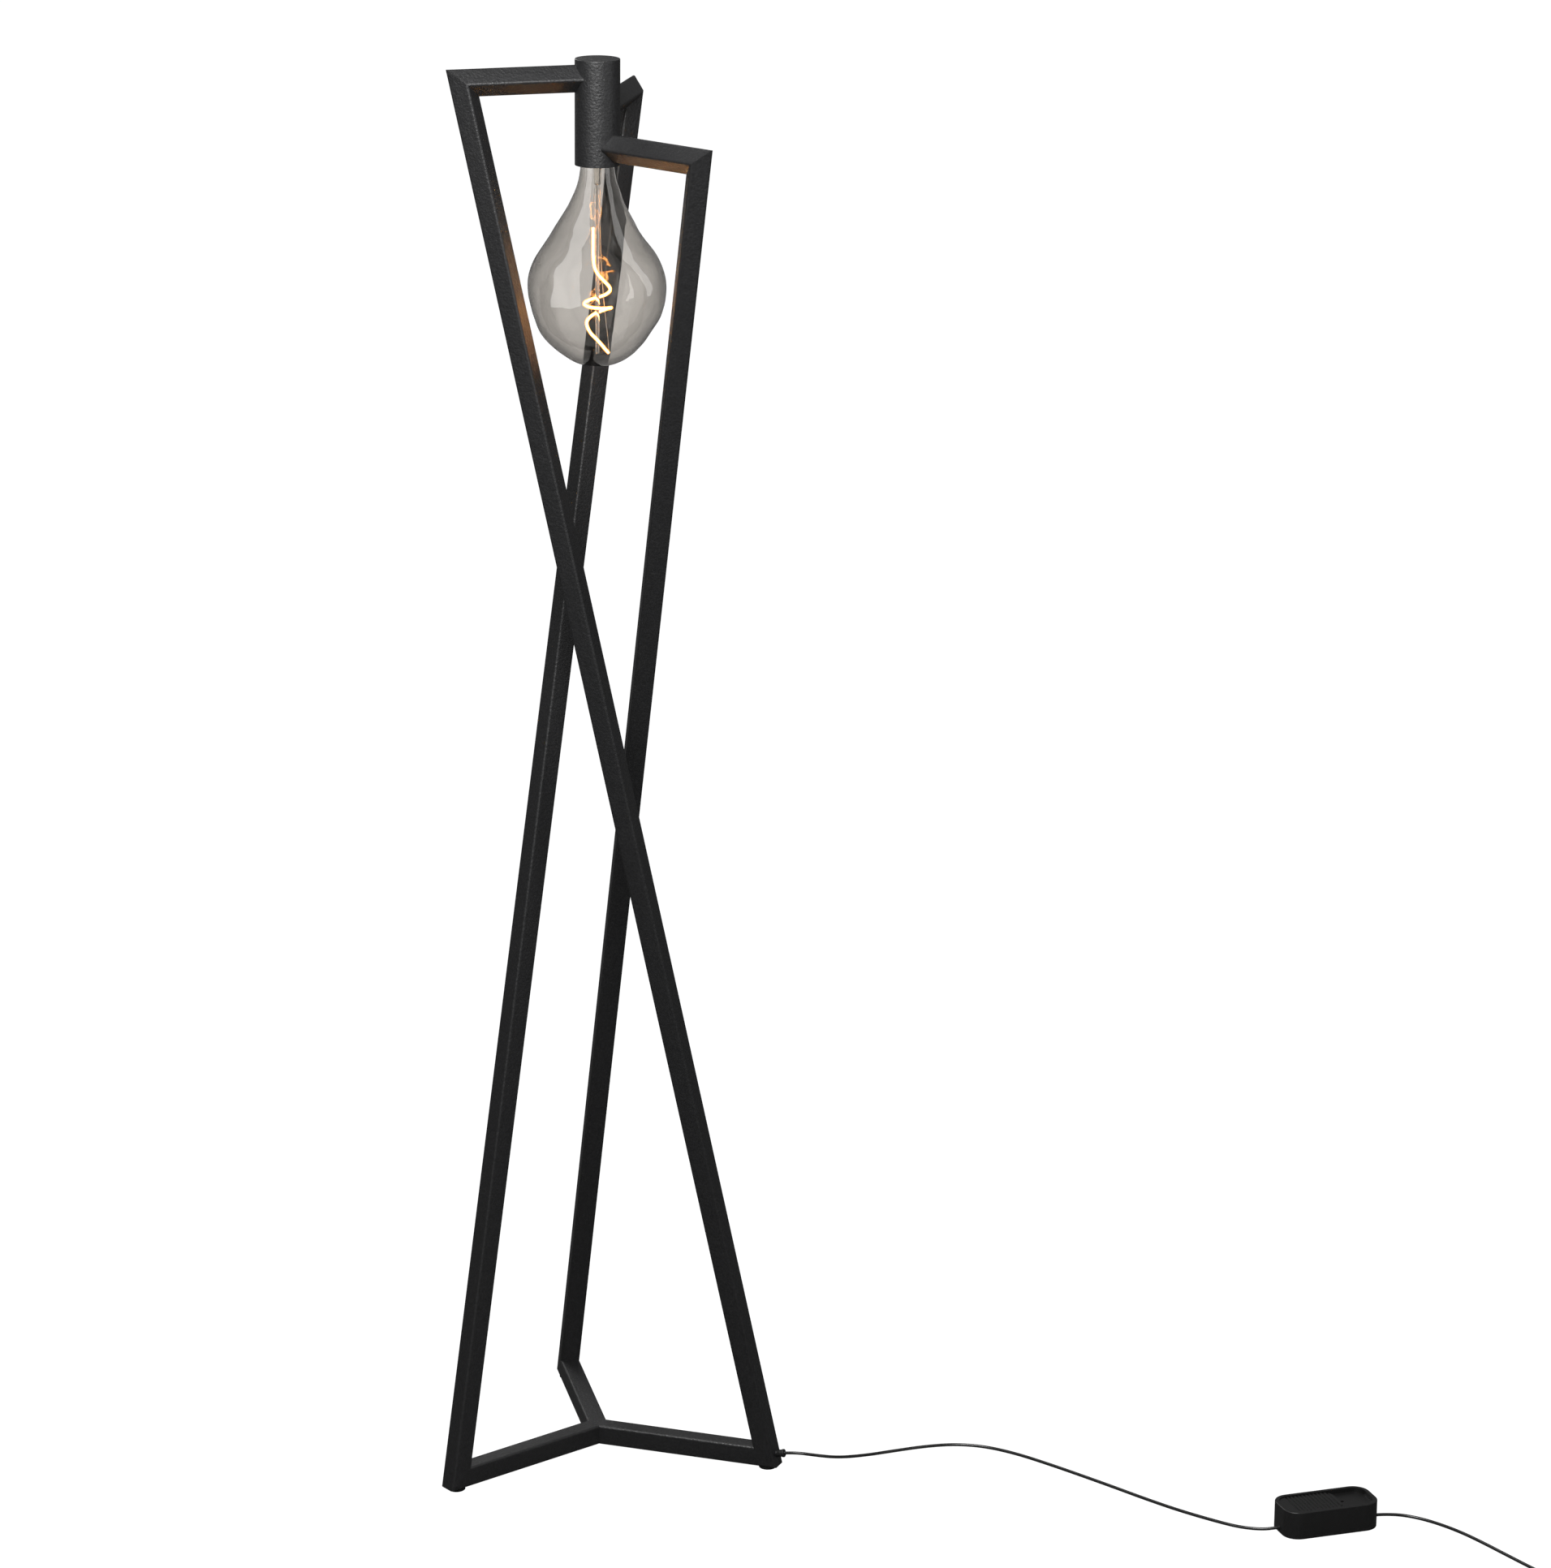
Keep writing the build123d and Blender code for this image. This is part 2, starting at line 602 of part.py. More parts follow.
with BuildPart() as cord_grip:
    with BuildSketch(grip_plane.offset(-GRIP_INNER)):
        Circle(GRIP_SHANK_RADIUS)
    extrude(amount=GRIP_INNER)
    with BuildSketch(grip_plane):
        Circle(GRIP_RADIUS)
    extrude(amount=GRIP_BODY_LENGTH)
    with BuildSketch(grip_plane.offset(-GRIP_INNER)):
        Circle(CORD_RADIUS)
    extrude(amount=GRIP_INNER + GRIP_BODY_LENGTH, mode=Mode.SUBTRACT)
    side_screw = Plane(
        origin=grip_plane.from_local_coords(Vector(0, 0, GRIP_BODY_LENGTH / 2)),
        x_dir=grip_plane.z_dir,
        z_dir=grip_plane.x_dir * -0.8 + grip_plane.y_dir * GRIP_SCREW_SIDE,
    )
    with BuildSketch(side_screw):
        Circle(GRIP_SCREW_RADIUS)
    extrude(amount=2 * GRIP_RADIUS, mode=Mode.SUBTRACT)
save(cord_grip, "cord_grip")

with BuildPart() as cord_grip_nut:
    with BuildSketch(grip_plane.offset(GRIP_BODY_LENGTH)):
        Circle(GRIP_NUT_RADIUS)
    extrude(amount=GRIP_NUT_LENGTH)
    fillet(cord_grip_nut.edges(), GRIP_NUT_LENGTH / 4)
    with BuildSketch(grip_plane.offset(GRIP_BODY_LENGTH)):
        Circle(CORD_RADIUS)
    extrude(amount=GRIP_NUT_LENGTH, mode=Mode.SUBTRACT)
save(cord_grip_nut, "cord_grip_nut")

with BuildPart() as cord_grip_screw:
    with BuildSketch(side_screw.offset(CORD_RADIUS + FIT)):
        Circle(GRIP_SCREW_RADIUS - FIT / 2)
    extrude(amount=GRIP_RADIUS - CORD_RADIUS)
save(cord_grip_screw, "cord_grip_screw")

# The cable runs inside leg b and its top arm, into the sleeve and down the nipple.
inner_route = [
    grip_seat - bend_b.leg_face * GRIP_INNER,
    grip_seat - bend_b.leg_face * (TUBE / 2 + CABLE_LEAN),
    bend_b.top,
    bend_b.end,
    Vector(0, 0, NIPPLE_Z),
]
with BuildPart() as inner_cable:
    rod_along(inner_route, CORD_RADIUS, INNER_CABLE_RADII)
save(inner_cable, "inner_cable")


def route_report(name, points, tube):
    """Print a cord's arcs, and its volume against its section times its length."""
    corners = [Vector(*point) for point in points]
    radii = ", ".join(f"{radius:.0f}" for radius in fair_radii(corners))
    section = pi * CORD_RADIUS**2
    print(f"{name}: length {tube.part.volume / section:.0f}, radii {radii}")


# ============================================================================= dimmer
dimmer_plane = Plane(
    origin=DIMMER_CENTRE,
    x_dir=(cos(radians(DIMMER_AZIMUTH)), sin(radians(DIMMER_AZIMUTH)), 0),
)
PLATE_TOP = DIMMER_FOOT_HEIGHT + PLATE_THICKNESS
ENTRY_Z = PLATE_TOP + BUSH_RADIUS + FIT
TRACK_Z = DIMMER_HEIGHT - TRACK_DEPTH
ROOF_Z = TRACK_Z - DIMMER_WALL
TRACK_LENGTH = DIMMER_LENGTH - 2 * RIM
TRACK_WIDTH = DIMMER_WIDTH - 2 * RIM
SLIDER_LENGTH = TRACK_LENGTH - 2 * SLIDER_GAP - SLIDER_TRAVEL
SLIDER_X = -(SLIDER_TRAVEL / 2)  # the slider's centre at rest, at the lamp end
INSIDE_LENGTH = DIMMER_LENGTH - 2 * DIMMER_WALL
INSIDE_WIDTH = DIMMER_WIDTH - 2 * DIMMER_WALL
INSIDE_CORNER = DIMMER_CORNER - DIMMER_WALL
POST_X = DIMMER_LENGTH / 2 - POST_FROM_END
POST_Y = DIMMER_WIDTH / 2 - POST_FROM_SIDE
post_places = GridLocations(2 * POST_X, 2 * POST_Y, 2, 2)


def slab(length, width, corner, low, high, mode=Mode.ADD):
    """Rounded slab centred on the dimmer, between two heights."""
    with BuildSketch(dimmer_plane.offset(low)) as section:
        RectangleRounded(length, width, corner)
    extrude(section.sketch, amount=high - low, mode=mode)


def slot(middle, length, width, low, high, mode=Mode.SUBTRACT):
    """Round-ended slot along the dimmer, centred at x = middle."""
    with BuildSketch(dimmer_plane.offset(low)) as section:
        with Locations((middle, 0)):
            SlotOverall(length, width)
    extrude(section.sketch, amount=high - low, mode=mode)


STALK_SLOT = SLIDER_TRAVEL + STALK_LENGTH + 2 * SLIDER_GAP
with BuildPart() as dimmer_cover:
    slab(DIMMER_LENGTH, DIMMER_WIDTH, DIMMER_CORNER, DIMMER_SKIRT_GAP, DIMMER_HEIGHT)
    fillet(dimmer_cover.edges().group_by(Axis.Z)[-1], DIMMER_EDGE)
    fillet(dimmer_cover.edges().group_by(Axis.Z)[0], DIMMER_EDGE)
    slab(INSIDE_LENGTH, INSIDE_WIDTH, INSIDE_CORNER, DIMMER_SKIRT_GAP, ROOF_Z, Mode.SUBTRACT)
    track_corner = DIMMER_CORNER - RIM
    slab(TRACK_LENGTH, TRACK_WIDTH, track_corner, TRACK_Z, DIMMER_HEIGHT, Mode.SUBTRACT)
    slot(0, STALK_SLOT, STALK_WIDTH + 2 * SLIDER_GAP, ROOF_Z, TRACK_Z)
    with BuildSketch(dimmer_plane.offset(PLATE_TOP)):
        with post_places:
            Circle(POST_RADIUS)
            Circle(POST_SCREW_RADIUS + FIT, mode=Mode.SUBTRACT)
    extrude(amount=ROOF_Z - PLATE_TOP)
    for end in (-1, 1):
        face = dimmer_plane.from_local_coords(Vector(end * DIMMER_LENGTH / 2, 0, ENTRY_Z))
        with BuildSketch(Plane(origin=face, z_dir=dimmer_plane.x_dir * -end)):
            Circle(BUSH_RADIUS + FIT / 2)
        extrude(amount=2 * DIMMER_WALL, mode=Mode.SUBTRACT)
save(dimmer_cover, "dimmer_cover")

with BuildPart() as dimmer_plate:
    plate_length = INSIDE_LENGTH - 2 * FIT
    plate_width = INSIDE_WIDTH - 2 * FIT
    slab(plate_length, plate_width, INSIDE_CORNER - FIT, DIMMER_FOOT_HEIGHT, PLATE_TOP)
    with BuildSketch(dimmer_plane.offset(DIMMER_FOOT_HEIGHT)):
        with post_places:
            Circle(POST_SCREW_RADIUS + FIT)
    extrude(amount=PLATE_THICKNESS, mode=Mode.SUBTRACT)
    with BuildSketch(dimmer_plane.offset(PLATE_TOP)):
        with GridLocations(BOARD_LENGTH - 2 * PILLAR_INSET, BOARD_WIDTH - 2 * PILLAR_INSET, 2, 2):
            Circle(POST_RADIUS)
    extrude(amount=BOARD_RISE)
save(dimmer_plate, "dimmer_plate")

with BuildPart() as dimmer_screws:
    with BuildSketch(dimmer_plane.offset(PLATE_TOP - PLATE_THICKNESS)):
        with post_places:
            Circle(POST_SCREW_RADIUS)
    extrude(amount=DIMMER_SCREW_LENGTH)
    with BuildSketch(dimmer_plane.offset(DIMMER_FOOT_HEIGHT)):
        with post_places:
            Circle(POST_SCREW_RADIUS * 1.7)
    extrude(amount=-DIMMER_FOOT_HEIGHT * 0.6)
save(dimmer_screws, "dimmer_screws")

with BuildPart() as dimmer_feet:
    with BuildSketch(dimmer_plane):
        with GridLocations(2 * POST_X, POST_Y - DIMMER_FOOT_RADIUS, 2, 2):
            Circle(DIMMER_FOOT_RADIUS)
    extrude(amount=DIMMER_FOOT_HEIGHT)
save(dimmer_feet, "dimmer_feet")

with BuildPart() as dimmer_board:
    board_low = PLATE_TOP + BOARD_RISE
    slab(BOARD_LENGTH, BOARD_WIDTH, 2, board_low, board_low + BOARD_THICKNESS)
save(dimmer_board, "dimmer_board")

BOARD_TOP = PLATE_TOP + BOARD_RISE + BOARD_THICKNESS
COMPONENT_Y = BOARD_WIDTH / 2 - CHOKE_RADIUS - CHOKE_INSET
with BuildPart() as dimmer_potentiometer:
    pot_top = ROOF_Z - POT_GAP
    slab(STALK_SLOT + 2 * POT_END, POT_WIDTH, 1, BOARD_TOP, pot_top)
    stalk_low = TRACK_Z + SLIDER_LIFT - STALK_DEPTH
    slot(0, STALK_SLOT, STALK_WIDTH + 2 * SLIDER_GAP, stalk_low - 2 * SLIDER_GAP, pot_top)
save(dimmer_potentiometer, "dimmer_potentiometer")

with BuildPart() as dimmer_choke:
    with BuildSketch(dimmer_plane.offset(BOARD_TOP)):
        with Locations((-BOARD_LENGTH / 4, COMPONENT_Y)):
            Circle(CHOKE_RADIUS)
            Circle(CHOKE_RADIUS / 2, mode=Mode.SUBTRACT)
    extrude(amount=CHOKE_RADIUS)
save(dimmer_choke, "dimmer_choke")

with BuildPart() as dimmer_capacitor:
    with BuildSketch(dimmer_plane.offset(BOARD_TOP)):
        with Locations((BOARD_LENGTH / 4, COMPONENT_Y)):
            RectangleRounded(3 * CHOKE_RADIUS, CHOKE_RADIUS, 1)
    extrude(amount=2 * CHOKE_RADIUS)
save(dimmer_capacitor, "dimmer_capacitor")

with BuildPart() as dimmer_slider:
    slider_low = TRACK_Z + SLIDER_LIFT
    slider_top = slider_low + SLIDER_HEIGHT
    with BuildSketch(dimmer_plane.offset(slider_low)):
        with Locations((SLIDER_X, 0)):
            slider_corner = track_corner - SLIDER_GAP
            RectangleRounded(SLIDER_LENGTH, TRACK_WIDTH - 2 * SLIDER_GAP, slider_corner)
    extrude(amount=SLIDER_HEIGHT)
    first_rib = SLIDER_X - SLIDER_LENGTH / 2 + FIRST_RIB
    with BuildSketch(dimmer_plane.offset(slider_top)):
        for groove in range(RIB_COUNT + 1):
            with Locations((first_rib + (groove - 0.5) * RIB_PITCH, 0)):
                Rectangle(RIB_PITCH - RIB_WIDTH, TRACK_WIDTH)
    extrude(amount=-RIB_HEIGHT, mode=Mode.SUBTRACT)
    slot(SLIDER_X, STALK_LENGTH, STALK_WIDTH, slider_low - STALK_DEPTH, slider_low, Mode.ADD)
save(dimmer_slider, "dimmer_slider")


def end_rod(radius, start, stop):
    """Rod on the cord's line at both ends of the dimmer, between distances from its centre."""
    for end in (-1, 1):
        origin = dimmer_plane.from_local_coords(Vector(end * start, 0, ENTRY_Z))
        with BuildSketch(Plane(origin=origin, z_dir=dimmer_plane.x_dir * end)) as section:
            Circle(radius)
        extrude(section.sketch, amount=stop - start)


BUSH_OUTER = DIMMER_LENGTH / 2 + BUSH_PROUD
with BuildPart() as dimmer_bushes:
    end_rod(BUSH_RADIUS, BUSH_OUTER - BUSH_LENGTH, BUSH_OUTER)
save(dimmer_bushes, "dimmer_bushes")

with BuildPart() as dimmer_cord_ends:
    end_rod(CORD_RADIUS, BOARD_LENGTH / 2 + 1.0, BUSH_OUTER - BUSH_LENGTH)
save(dimmer_cord_ends, "dimmer_cord_ends")

with BuildPart() as dimmer_clamps:
    clamp_top = ENTRY_Z + CORD_RADIUS + CLAMP_THICKNESS
    with BuildSketch(dimmer_plane.offset(PLATE_TOP)):
        with GridLocations(2 * CLAMP_X, 0, 2, 1):
            Rectangle(CLAMP_LENGTH, CLAMP_WIDTH)
    extrude(amount=clamp_top - PLATE_TOP)
    with BuildSketch(dimmer_plane.offset(PLATE_TOP)):
        with GridLocations(2 * CLAMP_X, 0, 2, 1):
            Rectangle(CLAMP_LENGTH, CLAMP_WIDTH - 2 * CLAMP_THICKNESS)
    extrude(amount=ENTRY_Z + CORD_RADIUS - PLATE_TOP, mode=Mode.SUBTRACT)
save(dimmer_clamps, "dimmer_clamps")

# ========================================================================= free cords
grip_tip = grip_seat + bend_b.leg_face * (GRIP_BODY_LENGTH + GRIP_NUT_LENGTH)
lamp_end = dimmer_plane.from_local_coords(Vector(-BUSH_OUTER, 0, ENTRY_Z))
plug_end = dimmer_plane.from_local_coords(Vector(BUSH_OUTER, 0, ENTRY_Z))

first_route = [grip_tip, grip_tip + bend_b.leg_face * 16, *ROUTE_TO_DIMMER, lamp_end]
with BuildPart() as cord_to_dimmer:
    rod_along(first_route, CORD_RADIUS)
save(cord_to_dimmer, "cord_to_dimmer")
route_report("cord_to_dimmer", first_route, cord_to_dimmer)

second_route = [plug_end, plug_end + dimmer_plane.x_dir * 14 - Vector(0, 0, 0.8), *ROUTE_TO_COIL]
with BuildPart() as cord_to_coil:
    rod_along(second_route, CORD_RADIUS)
save(cord_to_coil, "cord_to_coil")
route_report("cord_to_coil", second_route, cord_to_coil)

# The rest of the cord is put away as a neat coil.
with BuildPart() as cord_coil:
    half_width = COIL_COLUMNS * CORD_RADIUS
    coil_height = COIL_LAYERS * CORD_DIAMETER
    with BuildSketch(Plane(origin=COIL_CENTRE)):
        Circle(COIL_MEAN_RADIUS + half_width)
        Circle(COIL_MEAN_RADIUS - half_width, mode=Mode.SUBTRACT)
    extrude(amount=coil_height)
    fillet(cord_coil.edges().filter_by(GeomType.CIRCLE), CORD_RADIUS * 0.8)
save(cord_coil, "cord_coil")

# =============================================================================== plug
tail_way = Vector(cos(radians(TAIL_AZIMUTH)), sin(radians(TAIL_AZIMUTH)), 0)
tail_side = Vector(-tail_way.Y, tail_way.X, 0)
outer_turn = COIL_MEAN_RADIUS + half_width - CORD_RADIUS
tail_start = Vector(*COIL_CENTRE, coil_height - CORD_RADIUS) - tail_side * -outer_turn
plug_z = PLUG_THICKNESS / 2
tail_route = [
    tail_start,
    tail_start + tail_way * (TAIL_LENGTH / 3) + Vector(0, 0, -1.6),
    tail_start + tail_way * (TAIL_LENGTH * 2 / 3) + Vector(0, 0, -1.2),
    tail_start + tail_way * TAIL_LENGTH + Vector(0, 0, plug_z - tail_start.Z),
]
with BuildPart() as cord_tail:
    rod_along(tail_route, CORD_RADIUS)
save(cord_tail, "cord_tail")
route_report("cord_tail", tail_route, cord_tail)

plug_rear = tail_route[-1] + tail_way * RELIEF_LENGTH
plug_plane = Plane(origin=plug_rear, x_dir=tail_side * -1, z_dir=tail_way)

with BuildPart() as plug_relief:
    with BuildSketch(plug_plane.offset(-RELIEF_LENGTH)):
        Circle(CORD_RADIUS + 0.6)
    with BuildSketch(plug_plane):
        Circle(RELIEF_RADIUS)
    loft()
save(plug_relief, "plug_relief")

with BuildPart() as plug_body:
    with BuildSketch(plug_plane):
        RectangleRounded(PLUG_REAR_WIDTH, PLUG_REAR_THICKNESS, PLUG_REAR_THICKNESS * 0.45)
    with BuildSketch(plug_plane.offset(PLUG_LENGTH - PLUG_FACE_LENGTH)):
        RectangleRounded(PLUG_WIDTH, PLUG_THICKNESS, PLUG_THICKNESS * 0.45)
    loft()
    with BuildSketch(plug_plane.offset(PLUG_LENGTH - PLUG_FACE_LENGTH)):
        RectangleRounded(PLUG_WIDTH, PLUG_THICKNESS, PLUG_THICKNESS * 0.45)
    extrude(amount=PLUG_FACE_LENGTH)
save(plug_body, "plug_body")

with BuildPart() as plug_pins:
    with BuildSketch(plug_plane.offset(PLUG_LENGTH)):
        with GridLocations(PIN_SPREAD, 0, 2, 1):
            Circle(PIN_RADIUS)
    extrude(amount=PIN_LENGTH)
    fillet(plug_pins.edges().group_by(Axis(plug_rear, tail_way))[-1], PIN_RADIUS / 2)
save(plug_pins, "plug_pins")
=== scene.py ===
"""Looks of a floor lamp with a twisted open frame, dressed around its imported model."""

import json
from math import ceil, cos, pi, radians, sin

import bpy
from bpy.props import FloatProperty, FloatVectorProperty, IntProperty, PointerProperty
from mathutils import Matrix, Vector

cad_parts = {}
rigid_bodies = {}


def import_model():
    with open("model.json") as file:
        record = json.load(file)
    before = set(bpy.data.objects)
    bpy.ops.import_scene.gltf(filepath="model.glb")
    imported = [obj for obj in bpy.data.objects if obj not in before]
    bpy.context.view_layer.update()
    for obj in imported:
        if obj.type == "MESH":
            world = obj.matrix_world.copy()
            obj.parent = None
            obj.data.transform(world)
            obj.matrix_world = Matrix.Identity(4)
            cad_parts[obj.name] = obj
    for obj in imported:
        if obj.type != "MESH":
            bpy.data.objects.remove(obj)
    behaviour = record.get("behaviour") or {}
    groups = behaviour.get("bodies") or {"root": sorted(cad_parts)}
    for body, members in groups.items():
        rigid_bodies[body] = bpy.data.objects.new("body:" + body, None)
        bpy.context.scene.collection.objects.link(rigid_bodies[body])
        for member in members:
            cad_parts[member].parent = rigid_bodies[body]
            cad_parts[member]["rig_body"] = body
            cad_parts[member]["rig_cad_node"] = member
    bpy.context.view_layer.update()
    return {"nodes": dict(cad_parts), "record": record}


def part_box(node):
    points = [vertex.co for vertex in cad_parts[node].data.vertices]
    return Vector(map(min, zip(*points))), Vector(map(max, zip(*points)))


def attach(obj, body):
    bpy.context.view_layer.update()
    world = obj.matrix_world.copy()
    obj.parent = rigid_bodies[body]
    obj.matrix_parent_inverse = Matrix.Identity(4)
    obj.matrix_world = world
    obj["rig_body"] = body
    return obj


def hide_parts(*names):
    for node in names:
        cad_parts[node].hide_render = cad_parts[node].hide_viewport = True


bl_info = {
    "name": "Twisted-frame floor lamp",
    "version": (1, 0, 0),
    "blender": (4, 5, 0),
    "location": "View3D > Sidebar > Lamp",
    "description": "Dresses the packed lamp: powder coat, smoked bulb, cords, dimmer and stage",
    "category": "Add Mesh",
}

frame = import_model()
MM = 0.001


def linear(hex_colour):
    """The linear colour of an sRGB hex value."""
    values = [int(hex_colour[i : i + 2], 16) / 255 for i in (1, 3, 5)]
    return tuple(v / 12.92 if v <= 0.04045 else ((v + 0.055) / 1.055) ** 2.4 for v in values)


def colour(name, hex_colour):
    """A colour that the user may change."""
    return FloatVectorProperty(
        name=name,
        description=f"Colour of the {name.lower()}",
        subtype="COLOR",
        min=0.0,
        max=1.0,
        default=linear(hex_colour),
    )


def power(name, description, default):
    """A light's power that the user may change, in watts."""
    return FloatProperty(
        name=name, description=description, default=default, min=0.0, unit="POWER"
    )


def length(name, description, default):
    """A length that the user may change, in metres."""
    return FloatProperty(
        name=name, description=description, default=default, min=0.0, unit="LENGTH", precision=5
    )


# ------------------------------------------------------------------- sizes and colours
class LampView(bpy.types.PropertyGroup):
    """Where the camera stands, and how the lamp is lit."""

    position: FloatVectorProperty(
        name="Camera position",
        description="Where the camera stands, about 6.5 m away and above the lamp",
        subtype="TRANSLATION",
        unit="LENGTH",
        default=(2.2622, -6.1254, 2.7269),
    )
    direction: FloatVectorProperty(
        name="Camera direction",
        description="Unit vector that the camera looks along",
        subtype="DIRECTION",
        default=(-0.30295, 0.91282, -0.27382),
    )
    roll: FloatProperty(
        name="Camera roll",
        description="Turn of the camera about its own line of sight",
        subtype="ANGLE",
        default=radians(0.519),
    )
    lens: FloatProperty(
        name="Focal length",
        description="In millimetres, for a sensor 36 mm on its long side",
        default=127.45,
        min=1.0,
    )
    key_power: power("Key light", "Power of the softbox above the front", 84.0)
    side_power: power("Side light", "Power of the tall softbox at the right", 3.5)
    back_power: power("Back light", "Power of the softbox behind", 24.0)
    panel_power: power("Glass panels", "Power of the right panel that the glass mirrors", 32.0)
    ambient: FloatProperty(
        name="Ambient light",
        description="Strength of the even light from all round",
        default=0.14,
    )
    mirrored: FloatProperty(
        name="Mirrored backdrop",
        description="How bright the floor and backdrop are where a gloss mirrors them",
        default=0.05,
    )
    dim_sky: FloatProperty(
        name="Mirrored ceiling",
        description="How bright the studio above the lamp is where a gloss mirrors it",
        default=0.03,
    )


class LampBulb(bpy.types.PropertyGroup):
    """Sizes of the bulb's glass, wires and lit filament."""

    wall: length("Glass wall", "Thickness of the blown glass", 0.7 * MM)
    ripple: length("Ripple", "Height of the waves that blowing leaves in the glass", 1.6 * MM)
    segments: IntProperty(
        name="Segments", description="Steps round the glass before it is subdivided", default=64
    )
    filament_radius: length("Filament radius", "Radius of the filament's white-hot core", 1.3 * MM)
    coat_radius: length("Coat radius", "Radius of the filament's glowing coat", 2.2 * MM)
    wire_radius: length("Wire radius", "Radius of the bulb's inner wires", 0.35 * MM)
    glow: FloatProperty(
        name="Glow", description="Emission strength of the filament", default=34.0, min=0.0
    )


class LampCord(bpy.types.PropertyGroup):
    """Sizes of the cord and its put-away coil."""

    diameter: length("Cord diameter", "Outside diameter of the cord", 4.0 * MM)
    turn_points: IntProperty(
        name="Points per turn",
        description="Control points in a turn of the coil",
        default=16,
        min=12,
    )


class LampFinish(bpy.types.PropertyGroup):
    """Colours of the lamp's finishes."""

    powder: colour("Powder coat", "#141415")
    rubber: colour("Rubber", "#121212")
    moulded: colour("Moulded black plastic", "#141414")
    sheath: colour("Cord sheath", "#161616")
    porcelain: colour("Porcelain", "#e6e1d8")
    zinc: colour("Zinc plate", "#b9bab6")
    blackened: colour("Blackened steel", "#2c2c2c")
    brass: colour("Brass", "#c9a55c")
    nickel: colour("Nickel plate", "#c8c4bc")
    smoke: colour("Smoked glass", "#d3d0cc")
    smoke_rim: colour("Smoked glass edge", "#3f3b38")
    clear: colour("Clear glass", "#f4f1ec")
    glow: colour("Filament glow", "#ffb765")
    halo: colour("Filament halo", "#ffc24f")
    board: colour("Circuit board", "#1f4a2b")
    case: colour("Component case", "#3a3a3a")
    capacitor: colour("Capacitor", "#b98d2a")
    ferrite: colour("Ferrite", "#2e2c2b")


def view_settings():
    """The camera's and the lights' settings."""
    return bpy.context.scene.lamp_view


def bulb_settings():
    """The bulb's sizes."""
    return bpy.context.scene.lamp_bulb


def cord_settings():
    """The cord's sizes."""
    return bpy.context.scene.lamp_cord


def finish_settings():
    """The colours of the finishes."""
    return bpy.context.scene.lamp_finish


# ------------------------------------------------------------------------------- tools
CREASE = 35.0  # edges that turn by more than this stay crisp, in degrees
MERGE_CAD = 0.005 * MM  # vertices this near are one, in a CAD node's loose triangles
MERGE_TURNED = 0.01 * MM  # and where a turned shape closes on itself
WIRE_ORDER = 3  # of the spline that a wire or cord follows
WIRE_ROUNDNESS = 5  # gives a wire 14 sides


def deselect():
    """Leave nothing selected, in object mode."""
    if bpy.context.object and bpy.context.object.mode != "OBJECT":
        bpy.ops.object.mode_set(mode="OBJECT")
    bpy.ops.object.select_all(action="DESELECT")


def pick(piece):
    """Select one piece and make it active."""
    deselect()
    piece.select_set(True)
    bpy.context.view_layer.objects.active = piece


def settle(piece, name):
    """Name a modelled piece and move its origin to the frame's, its place in its mesh."""
    pick(piece)
    bpy.ops.object.transform_apply(location=True, rotation=True, scale=True)
    piece.name = name
    piece.data.name = name
    return piece


def apply_modifiers(piece):
    """Apply each of a piece's modifiers, in order."""
    pick(piece)
    for modifier in list(piece.modifiers):
        bpy.ops.object.modifier_apply(modifier=modifier.name)


def add_modifier(piece, kind, **settings):
    """Add a modifier with its settings."""
    modifier = piece.modifiers.new(kind.title(), kind)
    for name, value in settings.items():
        setattr(modifier, name, value)


def smooth(piece, angle=CREASE):
    """Shade smooth, with edges sharper than the angle left crisp."""
    pick(piece)
    bpy.ops.object.shade_smooth_by_angle(angle=radians(angle))


def paint(piece, material):
    """Give every face of a piece one material."""
    piece.data.materials.clear()
    piece.data.materials.append(material)


def place(piece, body, material, nodes):
    """Paint a finished piece, let it ride on a body and stand for CAD nodes."""
    paint(piece, material)
    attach(piece, body)
    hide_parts(*nodes)


def body_with(node):
    """The body that a node belongs to."""
    for body, members in frame["record"]["behaviour"]["bodies"].items():
        if node in members:
            return body
    raise RuntimeError(f"no body holds {node}")


def dressed_copy(node, material):
    """A merged, smoothly shaded copy of a CAD node, which stands for it."""
    deselect()
    piece = frame["nodes"][node].copy()
    piece.data = frame["nodes"][node].data.copy()
    piece.name = f"{node}_dressed"
    piece.data.name = piece.name
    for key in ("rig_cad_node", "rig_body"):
        if key in piece:
            del piece[key]
    piece.parent = None
    piece.matrix_world = Matrix.Identity(4)
    bpy.context.collection.objects.link(piece)
    pick(piece)
    bpy.ops.object.mode_set(mode="EDIT")
    bpy.ops.mesh.select_all(action="SELECT")
    bpy.ops.mesh.remove_doubles(threshold=MERGE_CAD)
    bpy.ops.mesh.customdata_custom_splitnormals_clear()
    bpy.ops.object.mode_set(mode="OBJECT")
    smooth(piece)
    place(piece, body_with(node), material, [node])


